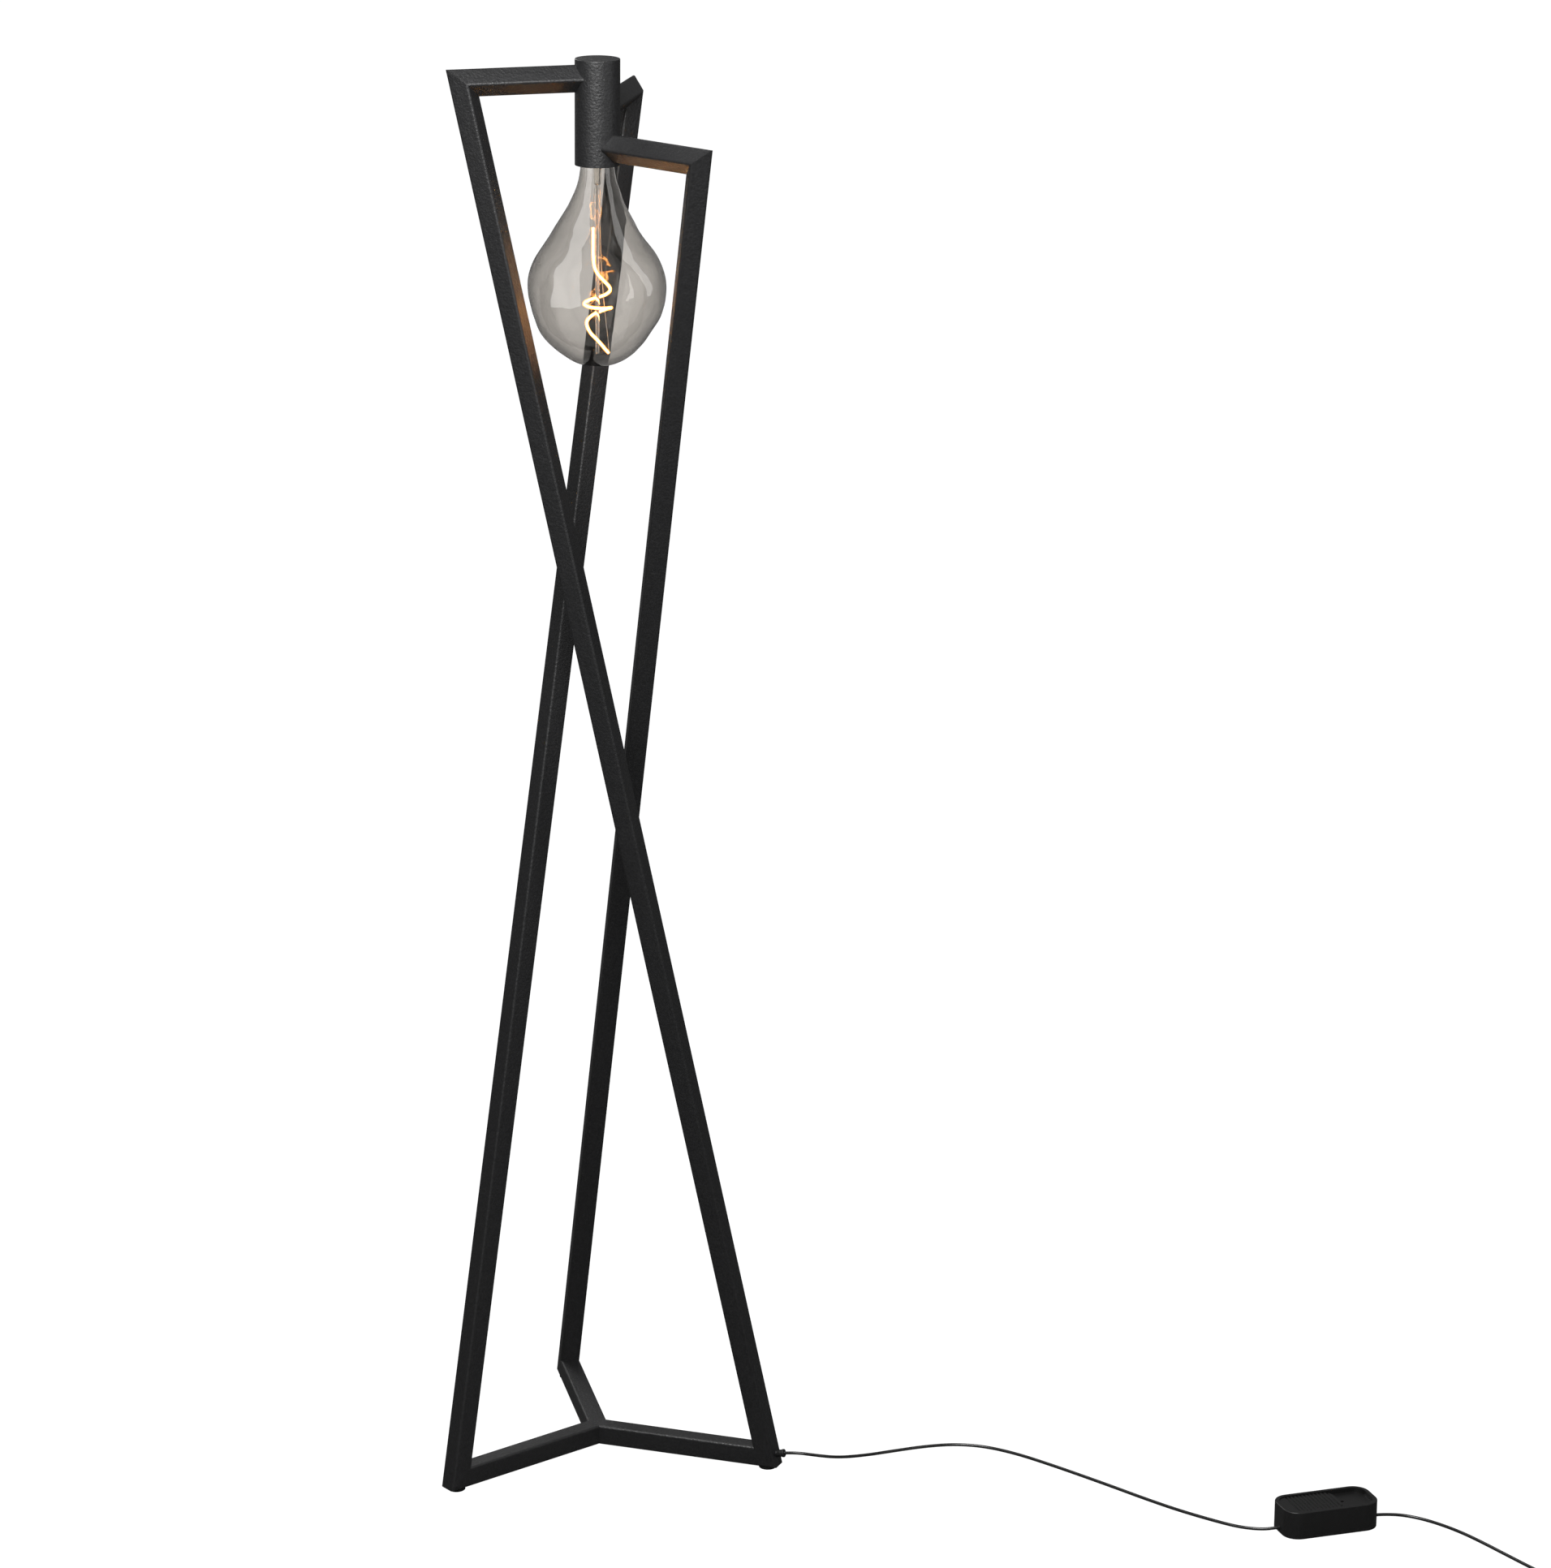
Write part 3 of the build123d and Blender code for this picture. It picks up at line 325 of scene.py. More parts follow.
def turned(name, outline, steps):
    """Turn an outline of (radius, height) points round the lamp's axis, and close its seam."""
    (radius, height), *rest = outline
    bpy.ops.mesh.primitive_plane_add(size=MM, location=(radius, 0.0, height))
    piece = bpy.context.object
    bpy.ops.object.mode_set(mode="EDIT")
    bpy.ops.mesh.select_all(action="SELECT")
    bpy.ops.mesh.merge(type="CENTER")
    for next_radius, next_height in rest:
        step = (next_radius - radius, 0, next_height - height)
        bpy.ops.mesh.extrude_region_move(TRANSFORM_OT_translate={"value": step})
        radius, height = next_radius, next_height
    bpy.ops.mesh.select_all(action="SELECT")
    bpy.ops.mesh.spin(
        steps=steps, angle=2 * pi, use_auto_merge=True, center=(0, 0, 0), axis=(0, 0, 1)
    )
    bpy.ops.mesh.select_all(action="SELECT")
    bpy.ops.mesh.remove_doubles(threshold=MERGE_TURNED)
    bpy.ops.mesh.normals_make_consistent(inside=False)
    bpy.ops.object.mode_set(mode="OBJECT")
    return settle(piece, name)


def wire(name, points, radius, steps=8):
    """A round wire on one smooth spline, with so many steps between its control points."""
    curve = bpy.data.curves.new(name, "CURVE")
    curve.dimensions = "3D"
    curve.bevel_depth = radius
    curve.bevel_resolution = WIRE_ROUNDNESS
    curve.resolution_u = steps
    curve.use_fill_caps = True
    spline = curve.splines.new("NURBS")
    spline.points.add(len(points) - 1)
    for point, place_at in zip(spline.points, points):
        point.co = (*place_at, 1.0)
    spline.order_u = WIRE_ORDER
    spline.use_endpoint_u = True
    piece = bpy.data.objects.new(name, curve)
    bpy.context.collection.objects.link(piece)
    return piece


def as_mesh(piece):
    """Turn a curve piece into a mesh."""
    pick(piece)
    bpy.ops.object.convert(target="MESH")
    return bpy.context.object


# --------------------------------------------------------------------------- materials
BUMP = "ShaderNodeBump"
COORDINATES = "ShaderNodeTexCoord"
LAYER_WEIGHT = "ShaderNodeLayerWeight"
MAP_RANGE = "ShaderNodeMapRange"
MATH = "ShaderNodeMath"
NOISE = "ShaderNodeTexNoise"
PRINCIPLED = "ShaderNodeBsdfPrincipled"
VECTOR_MATH = "ShaderNodeVectorMath"

# How far apart the marks in each finish lie. Two are too fine to show, and are drawn coarser.
PEBBLE = 3.0 * MM  # sprayed grain of the powder: about 0.5 mm, drawn six times as coarse
FLOW = 9.0 * MM  # slow swell of the powder where it ran in the oven
SPARK_GRAIN = 0.6 * MM  # grain of a spark-eroded mould: about 0.1 mm, drawn six times as coarse
BLOOM = 3.0 * MM  # grey cloud on rubber
RUBBER_GRAIN = 0.5 * MM
DRAW_MARKS = 12.0 * MM  # along the drawn sheath of the cord
POLISH_CLOUD = 2.0 * MM  # left in plate by its barrel
GLAZE_SWELL = 5.0 * MM  # in glazed porcelain
DRAWN_WAVES = 6.0 * MM  # in a drawn glass rod
COAT_SPECK = 1.0 * MM  # in the glow of the filament
DIP_PATCH = 4.0 * MM  # on a dipped component


def add_node(tree, kind, inputs=None, output=0, **settings):
    """Add a shader node with its settings and links, and return one of its outputs."""
    made = tree.nodes.new(kind)
    for name, value in settings.items():
        setattr(made, name, value)
    for socket, value in (inputs or {}).items():
        if isinstance(value, bpy.types.NodeSocket):
            tree.links.new(value, made.inputs[socket])
        else:
            made.inputs[socket].default_value = value
    return made.outputs[output] if made.outputs else None


def new_material(name):
    """An empty material, with its tree."""
    material = bpy.data.materials.new(name)
    material.use_nodes = True
    material.node_tree.nodes.clear()
    return material, material.node_tree


def finish_surface(material, name, sockets):
    """Close a material with its surface shader and its output."""
    tree = material.node_tree
    surface = add_node(tree, name, sockets)
    add_node(tree, "ShaderNodeOutputMaterial", {"Surface": surface})
    return material


def powder_coat():
    """Fine-textured black powder coat: baked polyester, with the pebble of its spray."""
    # To the eye: a dry black that a light spreads over broadly, with a fine sandy mottle.
    base = finish_settings().powder
    material, tree = new_material("powder_coat_matt")
    where = add_node(tree, COORDINATES, output="Object")
    pebble = add_node(tree, NOISE, {"Vector": where, "Scale": 1 / PEBBLE, "Detail": 4.0})
    flow = add_node(tree, NOISE, {"Vector": where, "Scale": 1 / FLOW})
    mottle = add_node(tree, MAP_RANGE, {"Value": pebble, "To Min": 0.2, "To Max": 1.8})
    broad = add_node(tree, BUMP, {"Height": flow, "Distance": 0.3 * MM, "Strength": 0.5})
    sandy = {"Height": pebble, "Distance": 0.6 * MM, "Strength": 1.0, "Normal": broad}
    sockets = {
        "Base Color": add_node(tree, VECTOR_MATH, {0: base, "Scale": mottle}, operation="SCALE"),
        "Roughness": add_node(tree, MAP_RANGE, {"Value": flow, "To Min": 0.4, "To Max": 0.52}),
        "IOR": 1.5,
        "Specular IOR Level": 0.8,
        "Normal": add_node(tree, BUMP, sandy),
    }
    return finish_surface(material, PRINCIPLED, sockets)


def moulded_plastic(name, base, roughness):
    """Black moulded plastic with the light texture of a spark-eroded mould."""
    # To the eye: an even soft gloss on edges, and faces a shade duller than the edges.
    material, tree = new_material(name)
    where = add_node(tree, COORDINATES, output="Object")
    fine = add_node(tree, NOISE, {"Vector": where, "Scale": 1 / SPARK_GRAIN, "Detail": 3.0})
    mottle = add_node(tree, MAP_RANGE, {"Value": fine, "To Min": 0.8, "To Max": 1.2})
    ends = {"Value": fine, "To Min": roughness - 0.05, "To Max": roughness + 0.07}
    relief = {"Height": fine, "Distance": 0.05 * MM, "Strength": 0.5}
    sockets = {
        "Base Color": add_node(tree, VECTOR_MATH, {0: base, "Scale": mottle}, operation="SCALE"),
        "Roughness": add_node(tree, MAP_RANGE, ends),
        "IOR": 1.53,
        "Specular IOR Level": 0.6,
        "Normal": add_node(tree, BUMP, relief),
    }
    return finish_surface(material, PRINCIPLED, sockets)


def rubber():
    """Moulded rubber: dull, with a little bloom on it."""
    # To the eye: flat black with a faint grey cloud and no shine.
    base = finish_settings().rubber
    material, tree = new_material("rubber_moulded")
    where = add_node(tree, COORDINATES, output="Object")
    bloom = add_node(tree, NOISE, {"Vector": where, "Scale": 1 / BLOOM})
    grip = add_node(tree, NOISE, {"Vector": where, "Scale": 1 / RUBBER_GRAIN})
    mottle = add_node(tree, MAP_RANGE, {"Value": bloom, "To Min": 0.8, "To Max": 1.5})
    relief = {"Height": grip, "Distance": 0.05 * MM, "Strength": 0.4}
    sockets = {
        "Base Color": add_node(tree, VECTOR_MATH, {0: base, "Scale": mottle}, operation="SCALE"),
        "Roughness": 0.75,
        "IOR": 1.52,
        "Specular IOR Level": 0.3,
        "Normal": add_node(tree, BUMP, relief),
    }
    return finish_surface(material, PRINCIPLED, sockets)


def cord_sheath():
    """Smooth extruded PVC sheath with faint draw marks."""
    # To the eye: black with one soft light line along its top.
    base = finish_settings().sheath
    material, tree = new_material("cord_sheath_pvc")
    where = add_node(tree, COORDINATES, output="Object")
    waver = add_node(tree, NOISE, {"Vector": where, "Scale": 1 / DRAW_MARKS})
    relief = {"Height": waver, "Distance": 0.1 * MM, "Strength": 0.3}
    sockets = {
        "Base Color": (*base, 1.0),
        "Roughness": add_node(tree, MAP_RANGE, {"Value": waver, "To Min": 0.26, "To Max": 0.38}),
        "IOR": 1.53,
        "Specular IOR Level": 0.9,
        "Normal": add_node(tree, BUMP, relief),
    }
    return finish_surface(material, PRINCIPLED, sockets)


def plated(name, base, roughness):
    """Plated metal, barrel polished."""
    # To the eye: a bright metal with a faint cloud in its polish.
    material, tree = new_material(name)
    where = add_node(tree, COORDINATES, output="Object")
    cloud = add_node(tree, NOISE, {"Vector": where, "Scale": 1 / POLISH_CLOUD})
    ends = {"Value": cloud, "To Min": roughness * 0.8, "To Max": roughness * 1.3}
    tone = add_node(tree, MAP_RANGE, {"Value": cloud, "To Min": 0.88, "To Max": 1.08})
    sockets = {
        "Base Color": add_node(tree, VECTOR_MATH, {0: base, "Scale": tone}, operation="SCALE"),
        "Roughness": add_node(tree, MAP_RANGE, ends),
        "Metallic": 1.0,
    }
    return finish_surface(material, PRINCIPLED, sockets)


def porcelain():
    """Glazed porcelain over a faintly uneven body."""
    # To the eye: warm white with a wet shine.
    material, tree = new_material("porcelain_glazed")
    where = add_node(tree, COORDINATES, output="Object")
    uneven = add_node(tree, NOISE, {"Vector": where, "Scale": 1 / GLAZE_SWELL})
    relief = {"Height": uneven, "Distance": 0.1 * MM, "Strength": 0.3}
    sockets = {
        "Base Color": (*finish_settings().porcelain, 1.0),
        "Roughness": 0.16,
        "IOR": 1.54,
        "Normal": add_node(tree, BUMP, relief),
    }
    return finish_surface(material, PRINCIPLED, sockets)


def smoked_glass():
    """Mouth-blown soda-lime glass with a smoked coat."""
    # To the eye: a pale warm grey that deepens to near black where the wall is seen edge on.
    finish = finish_settings()
    material, tree = new_material("glass_smoked")
    facing = add_node(tree, LAYER_WEIGHT, {"Blend": 0.5}, output="Facing")
    edge = add_node(tree, MATH, {0: facing, 1: 1.4}, operation="POWER")
    tints = {"Factor": edge, "A": (*finish.smoke, 1.0), "B": (*finish.smoke_rim, 1.0)}
    sockets = {
        "Base Color": add_node(tree, "ShaderNodeMix", tints, output=2, data_type="RGBA"),
        "Roughness": 0.0,
        "IOR": 1.5,
        "Transmission Weight": 1.0,
    }
    return finish_surface(material, PRINCIPLED, sockets)


def clear_glass():
    """Drawn clear glass of the bulb's stem and rod."""
    # To the eye: colourless, with slow waves that bend what is behind it.
    material, tree = new_material("glass_clear")
    where = add_node(tree, COORDINATES, output="Object")
    waves = add_node(tree, NOISE, {"Vector": where, "Scale": 1 / DRAWN_WAVES})
    relief = {"Height": waves, "Distance": 0.2 * MM, "Strength": 0.3}
    sockets = {
        "Base Color": (*finish_settings().clear, 1.0),
        "Roughness": 0.02,
        "IOR": 1.47,
        "Transmission Weight": 1.0,
        "Normal": add_node(tree, BUMP, relief),
    }
    return finish_surface(material, PRINCIPLED, sockets)


def lit_filament():
    """The coated strip of a filament, lit."""
    # To the eye: a line of white that leaves gold on all that it lights.
    glow = (*finish_settings().glow, 1.0)
    material, tree = new_material("filament_lit")
    where = add_node(tree, COORDINATES, output="Object")
    speck = add_node(tree, NOISE, {"Vector": where, "Scale": 1 / COAT_SPECK})
    steady = add_node(tree, MAP_RANGE, {"Value": speck, "To Min": 0.85, "To Max": 1.15})
    strength = {0: steady, 1: bulb_settings().glow}
    sockets = {
        "Base Color": glow,
        "Emission Color": glow,
        "Emission Strength": add_node(tree, MATH, strength, operation="MULTIPLY"),
    }
    return finish_surface(material, PRINCIPLED, sockets)


def lit_coat():
    """The soft silicone coat round the filament, lit through."""
    # To the eye: a golden rim of light round the white core.
    halo = (*finish_settings().halo, 1.0)
    material, tree = new_material("filament_coat_lit")
    facing = add_node(tree, LAYER_WEIGHT, {"Blend": 0.35}, output="Facing")
    sockets = {
        "Base Color": halo,
        "Alpha": add_node(tree, MAP_RANGE, {"Value": facing, "To Min": 0.12, "To Max": 0.6}),
        "Emission Color": halo,
        "Emission Strength": 1.5,
    }
    return finish_surface(material, PRINCIPLED, sockets)


def plain_part(name, base, roughness):
    """A small dipped or moulded inner component."""
    # To the eye: its own colour, slightly uneven.
    material, tree = new_material(name)
    where = add_node(tree, COORDINATES, output="Object")
    patch = add_node(tree, NOISE, {"Vector": where, "Scale": 1 / DIP_PATCH})
    tone = add_node(tree, MAP_RANGE, {"Value": patch, "To Min": 0.8, "To Max": 1.2})
    sockets = {
        "Base Color": add_node(tree, VECTOR_MATH, {0: base, "Scale": tone}, operation="SCALE"),
        "Roughness": roughness,
    }
    return finish_surface(material, PRINCIPLED, sockets)


# -------------------------------------------------------------------------- the camera
SENSOR_SIDE = 36.0  # long side of the sensor, in mm
SIGHT = 200.0  # as far as the camera sees, in metres


class LAMP_OT_camera(bpy.types.Operator):
    """Stand the camera where the photograph was taken from."""

    bl_idname = "lamp.camera"
    bl_label = "Camera"

    def execute(self, context):
        view = view_settings()
        forward = Vector(view.direction).normalized()
        right = forward.cross(Vector((0, 0, 1))).normalized()
        up = right.cross(forward)
        right_rolled = right * cos(view.roll) + up * sin(view.roll)
        up_rolled = up * cos(view.roll) - right * sin(view.roll)
        turn = Matrix((right_rolled, up_rolled, -forward)).transposed()
        deselect()
        bpy.ops.object.camera_add(location=view.position, rotation=turn.to_euler())
        camera = context.object
        camera.name = "camera"
        camera.data.lens = view.lens
        camera.data.sensor_width = SENSOR_SIDE
        camera.data.clip_end = SIGHT
        context.scene.camera = camera
        return {"FINISHED"}


# --------------------------------------------------------------------------- the cords
# The cord's control points in the frame, in metres: out of the grip, over the floor to the
# dimmer, through its bushes and clamps, and on to the coil.
GRIP_TIP = (0.24978, -0.00165, 0.02221)  # where the cord leaves the grip at foot b
GRIP_LEAD = (0.26541, -0.00275, 0.02542)
ROUTE_TO_DIMMER = (
    (0.288, 0.006, 0.0215),
    (0.310, 0.028, 0.013),
    (0.334, 0.064, 0.005),
    (0.363, 0.098, 0.002),
    (0.394, 0.124, 0.002),
    (0.428, 0.144, 0.002),
    (0.466, 0.150, 0.002),
    (0.510, 0.141, 0.002),
    (0.556, 0.123, 0.002),
    (0.604, 0.102, 0.002),
    (0.652, 0.080, 0.002),
    (0.700, 0.057, 0.002),
    (0.746, 0.037, 0.002),
    (0.790, 0.022, 0.002),
    (0.830, 0.011, 0.002),
    (0.860, 0.009, 0.004),
)
THROUGH_DIMMER = (
    (0.87802, 0.01490, 0.0065),
    (0.90193, 0.03305, 0.0065),
    (0.95528, 0.07354, 0.0065),
    (0.97918, 0.09170, 0.0065),
)
ROUTE_TO_COIL = (
    (0.99033, 0.10016, 0.0057),
    (1.010, 0.111, 0.0036),
    (1.034, 0.112, 0.002),
    (1.062, 0.102, 0.002),
    (1.092, 0.086, 0.002),
    (1.123, 0.064, 0.002),
    (1.154, 0.040, 0.002),
    (1.184, 0.017, 0.002),
    (1.207, 0.000, 0.002),
)
COIL_CENTRE = (1.211, -0.039)
COIL_OUTER = 28.0 * MM  # radius of the outermost turn's centreline
COIL_START = 52.3  # azimuth where the cord joins the coil, in degrees
COIL_END = -71.6  # azimuth where the tail leaves it
COIL_WHOLE_TURNS = 3  # in each layer
TAIL_STEPS = ((14.0, -1.6), (28.0, -1.2), (42.0, 0.85))  # along the tail and up, in mm


def coil_points(diameter, per_turn):
    """The coil: turns inwards on the floor, a rise, and turns outwards on top of them."""
    rise = (COIL_START - COIL_END) / 360
    swell = 1 / cos(pi / per_turn)  # a smooth spline runs inside its control points
    turns = 2 * COIL_WHOLE_TURNS + rise
    count = ceil(turns * per_turn)
    points = []
    for step in range(count + 1):
        turn = turns * step / count
        inwards = min(turn, COIL_WHOLE_TURNS)
        climb = min(max((turn - COIL_WHOLE_TURNS) / rise, 0), 1)
        outwards = max(turn - COIL_WHOLE_TURNS - rise, 0)
        radius = (COIL_OUTER - diameter * inwards + diameter * outwards) * swell
        angle = radians(COIL_START - 360 * turn)
        x = COIL_CENTRE[0] + radius * cos(angle)
        y = COIL_CENTRE[1] + radius * sin(angle)
        points.append((x, y, diameter / 2 + diameter * climb))
    return points


def tail_points(diameter):
    """The end of the cord, from the coil's top turn to the plug."""
    angle = radians(COIL_END)
    start = Vector((*COIL_CENTRE, 1.5 * diameter))
    start += COIL_OUTER * Vector((cos(angle), sin(angle), 0))
    along = Vector((sin(angle), -cos(angle), 0))
    return [tuple(start + along * run * MM + Vector((0, 0, up * MM))) for run, up in TAIL_STEPS]


class LAMP_OT_cord(bpy.types.Operator):
    """Lay the cord from the grip through the dimmer, and on to its coil and plug."""

    bl_idname = "lamp.cord"
    bl_label = "Cord"

    def execute(self, context):
        cord = cord_settings()
        route = [
            GRIP_TIP,
            GRIP_LEAD,
            *ROUTE_TO_DIMMER,
            *THROUGH_DIMMER,
            *ROUTE_TO_COIL,
            *coil_points(cord.diameter, cord.turn_points),
            *tail_points(cord.diameter),
        ]
        piece = wire("cord_run", route, cord.diameter / 2)
        nodes = ["cord_to_dimmer", "cord_to_coil", "cord_coil", "cord_tail"]
        place(piece, "lamp", cord_sheath(), nodes)
        return {"FINISHED"}


# --------------------------------------------------------------------- the steel frame
class LAMP_OT_frame(bpy.types.Operator):
    """Powder-coat the foot arms, legs, top arms and sleeve."""

    bl_idname = "lamp.frame"
    bl_label = "Steel frame"

    def execute(self, context):
        coat = powder_coat()
        for name in "abc":
            dressed_copy(f"foot_arm_{name}", coat)
            dressed_copy(f"leg_{name}", coat)
            dressed_copy(f"top_arm_{name}", coat)
        dressed_copy("sleeve", coat)
        dressed_copy("sleeve_cap", coat)
        return {"FINISHED"}


class LAMP_OT_feet(bpy.types.Operator):
    """Finish the rubber pads and their screws."""

    bl_idname = "lamp.feet"
    bl_label = "Foot pads"

    def execute(self, context):
        pad = rubber()
        for name in "abc":
            dressed_copy(f"foot_pad_{name}", pad)
        zinc = plated("zinc_plate", finish_settings().zinc, roughness=0.3)
        dressed_copy("foot_pad_screws", zinc)
        return {"FINISHED"}


class LAMP_OT_holder(bpy.types.Operator):
    """Finish the lampholder and what carries it in the sleeve."""

    bl_idname = "lamp.holder"
    bl_label = "Lampholder"

    def execute(self, context):
        finish = finish_settings()
        black = moulded_plastic("phenolic_moulded", finish.moulded, roughness=0.35)
        zinc = plated("zinc_plate_fittings", finish.zinc, roughness=0.28)
        brass = plated("brass_plain", finish.brass, roughness=0.25)
        for node in ("lampholder_body", "lampholder_dome"):
            dressed_copy(node, black)
        dressed_copy("lampholder_insert", porcelain())
        for node in ("holder_bridge", "threaded_nipple", "nipple_nut", "terminal_screws"):
            dressed_copy(node, zinc)
        for node in ("screw_shell", "contact_tongue"):
            dressed_copy(node, brass)
        dressed_copy("inner_cable", cord_sheath())
        return {"FINISHED"}


# ---------------------------------------------------------------------------- the bulb
GLASS_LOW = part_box("bulb_glass")[0].z
VIEW_RIGHT = 18.4  # azimuth of the bulb's right side as the photograph shows it
# Height above the lowest point and radius, in mm.
GLASS_OUTLINE = (
    (0.0, 0.0),
    (0.5, 9.5),
    (2.3, 22.3),
    (8.0, 34.4),
    (16.0, 45.6),
    (27.0, 57.2),
    (38.0, 65.7),
    (48.0, 71.3),
    (57.0, 75.3),
    (68.0, 79.6),
    (80.0, 82.2),
    (92.0, 83.0),
    (104.0, 82.4),
    (114.0, 79.6),
    (125.0, 76.0),
    (135.0, 70.4),
    (148.0, 61.0),
    (160.0, 52.9),
    (174.0, 45.0),
    (188.0, 36.4),
    (200.0, 30.7),
    (212.0, 26.2),
    (222.0, 22.8),
    (232.0, 20.8),
    (240.0, 19.9),
    (245.0, 18.4),
    (248.5, 14.6),
    (250.5, 12.7),
    (255.8, 12.6),
)
# The blown glass leans: height of a ring, how far it moves to the right in view (to the left,
# if negative), and the reach over which its neighbours follow, in mm.
GLASS_LEAN = ((42.0, -2.4, 26.0), (158.0, -1.9, 70.0))
# Dents and swells pressed into the soft glass: azimuth from its right side in degrees, then
# height, how far in (or out, if negative), and reach of the press, in mm.
GLASS_PRESSES = (
    (-52.0, 66.0, 3.4, 44.0),
    (-28.0, 108.0, -2.0, 34.0),
    (-18.0, 40.0, 2.6, 30.0),
    (-95.0, 40.0, 2.4, 38.0),
    (-126.0, 92.0, 2.6, 42.0),
    (-146.0, 60.0, -2.0, 34.0),
    (-141.5, 120.5, 2.2, 13.0),
    (-76.0, 134.0, 2.2, 40.0),
    (-60.0, 168.0, -1.4, 26.0),
    (-112.0, 176.0, 1.2, 24.0),
    (22.0, 84.0, 2.6, 44.0),
    (64.0, 56.0, 3.0, 40.0),
    (104.0, 98.0, 3.0, 46.0),
    (150.0, 70.0, 2.4, 40.0),
    (128.0, 130.0, 2.0, 34.0),
    (40.0, 134.0, 2.0, 34.0),
    (178.0, 108.0, -1.2, 36.0),
    (-80.0, 14.0, 1.2, 22.0),
)
RING_BAND = 4.5 * MM  # a ring of vertices lies this near its height
SPOT_BAND = 7.0 * MM  # and a pressed spot this near
RIPPLE_SIZE = 28.0 * MM  # of a wave that blowing leaves
GLASS_LEVELS = 2  # of subdivision
GLASS_CREASE = 60.0  # the blown glass has no crisp edge but its mouth


def press(piece, chosen, shift, reach):
    """Shift vertices of a piece, chosen by number, and those within reach less and less."""
    pick(piece)
    bpy.ops.object.mode_set(mode="EDIT")
    bpy.ops.mesh.select_mode(type="VERT")
    bpy.ops.mesh.select_all(action="DESELECT")
    bpy.ops.object.mode_set(mode="OBJECT")
    for index in chosen:
        piece.data.vertices[index].select = True
    bpy.ops.object.mode_set(mode="EDIT")
    bpy.ops.transform.translate(
        value=shift,
        use_proportional_edit=True,
        proportional_edit_falloff="SMOOTH",
        proportional_size=reach,
    )
    bpy.ops.object.mode_set(mode="OBJECT")


class LAMP_OT_bulb_glass(bpy.types.Operator):
    """Blow the bulb's glass: a turned pear shape, leaning a little and pressed into soft dents."""

    bl_idname = "lamp.bulb_glass"
    bl_label = "Bulb glass"

    def execute(self, context):
        bulb = bulb_settings()
        outline = [(radius * MM, GLASS_LOW + height * MM) for height, radius in GLASS_OUTLINE]
        piece = turned("bulb_glass_blown", outline, bulb.segments)
        side = radians(VIEW_RIGHT)
        for height, shift, reach in GLASS_LEAN:
            level = GLASS_LOW + height * MM
            ring = [v.index for v in piece.data.vertices if abs(v.co.z - level) < RING_BAND]
            press(piece, ring, (shift * MM * cos(side), shift * MM * sin(side), 0), reach * MM)
        for azimuth, height, depth, reach in GLASS_PRESSES:
            turn = side + radians(azimuth)
            out = Vector((cos(turn), sin(turn), 0))
            level = GLASS_LOW + height * MM
            spot = min(
                (v for v in piece.data.vertices if abs(v.co.z - level) < SPOT_BAND),
                key=lambda v: -v.co.xy.dot(out.xy),
            )
            press(piece, [spot.index], -out * depth * MM, reach * MM)
        ripple = bpy.data.textures.new("glass_ripple", "CLOUDS")
        ripple.noise_scale = RIPPLE_SIZE
        ripple.noise_depth = 1
        add_modifier(piece, "SUBSURF", levels=GLASS_LEVELS, render_levels=GLASS_LEVELS)
        add_modifier(piece, "DISPLACE", texture=ripple, strength=bulb.ripple, mid_level=0.5)
        add_modifier(piece, "SOLIDIFY", thickness=bulb.wall, offset=-1.0)
        apply_modifiers(piece)
        smooth(piece, GLASS_CREASE)
        place(piece, "bulb", smoked_glass(), ["bulb_glass"])
        piece.visible_shadow = False
        return {"FINISHED"}


# Inside the bulb all is measured from its lowest point, in mm: x to the right in view, y
# away from it, z up.
FILAMENT_ROUTE = (
    (-5, -1.5, 166),
    (-5, -1.5, 150),
    (-5, -1.5, 124),
    (-1, -4.5, 112),
    (9, -6.5, 102),
    (17, 0, 92),
    (10, 14, 82),
    (-8, 15, 77),
    (-18, 2, 74),
    (-10, -13, 72),
    (8, -15, 71),
    (19, -1, 70),
    (10, 13, 65),
    (-6, 13, 59),
    (-14.5, 1, 52),
    (-9, -6, 40),
    (1, -5.5, 31),
    (13.4, -0.6, 14.5),
)
FILAMENT_STEPS = 10  # between two control points
LEAD_ROUTES = (
    ((-3.2, -1, 214), (-4.6, -1.4, 196), (-5, -1.5, 182), (-5, -1.5, 165)),
    (
        (3.0, 1, 214),
        (3.4, 1, 180),
        (4, 1, 120),
        (9, 1, 60),
        (14.2, 0.2, 20),
        (13.4, -0.6, 13.5),
    ),
)
# Radius and height of the stem's two parts.
FLARE_OUTLINE = (
    (2.0, 217.0),
    (3.6, 217.6),
    (4.3, 219.0),
    (4.4, 222.0),
    (4.4, 231.0),
    (4.8, 235.0),
    (6.6, 241.0),
    (9.2, 247.0),
    (11.2, 253.0),
)
ROD_OUTLINE = (
    (0.0, 13.5),
    (1.8, 13.8),
    (2.4, 15.1),
    (2.4, 214.0),
    (3.0, 218.0),
    (0.0, 219.0),
)
FLARE_WALL = 0.7 * MM
STEM_STEPS = 32  # round the flare and the rod
STEM_CREASE = 50.0  # in degrees


def in_bulb(x, y, z):
    """A place in the bulb, from its lowest point in mm, as a point in the frame."""
    turn = radians(VIEW_RIGHT)
    return (
        (x * cos(turn) - y * sin(turn)) * MM,
        (x * sin(turn) + y * cos(turn)) * MM,
        GLASS_LOW + z * MM,
    )


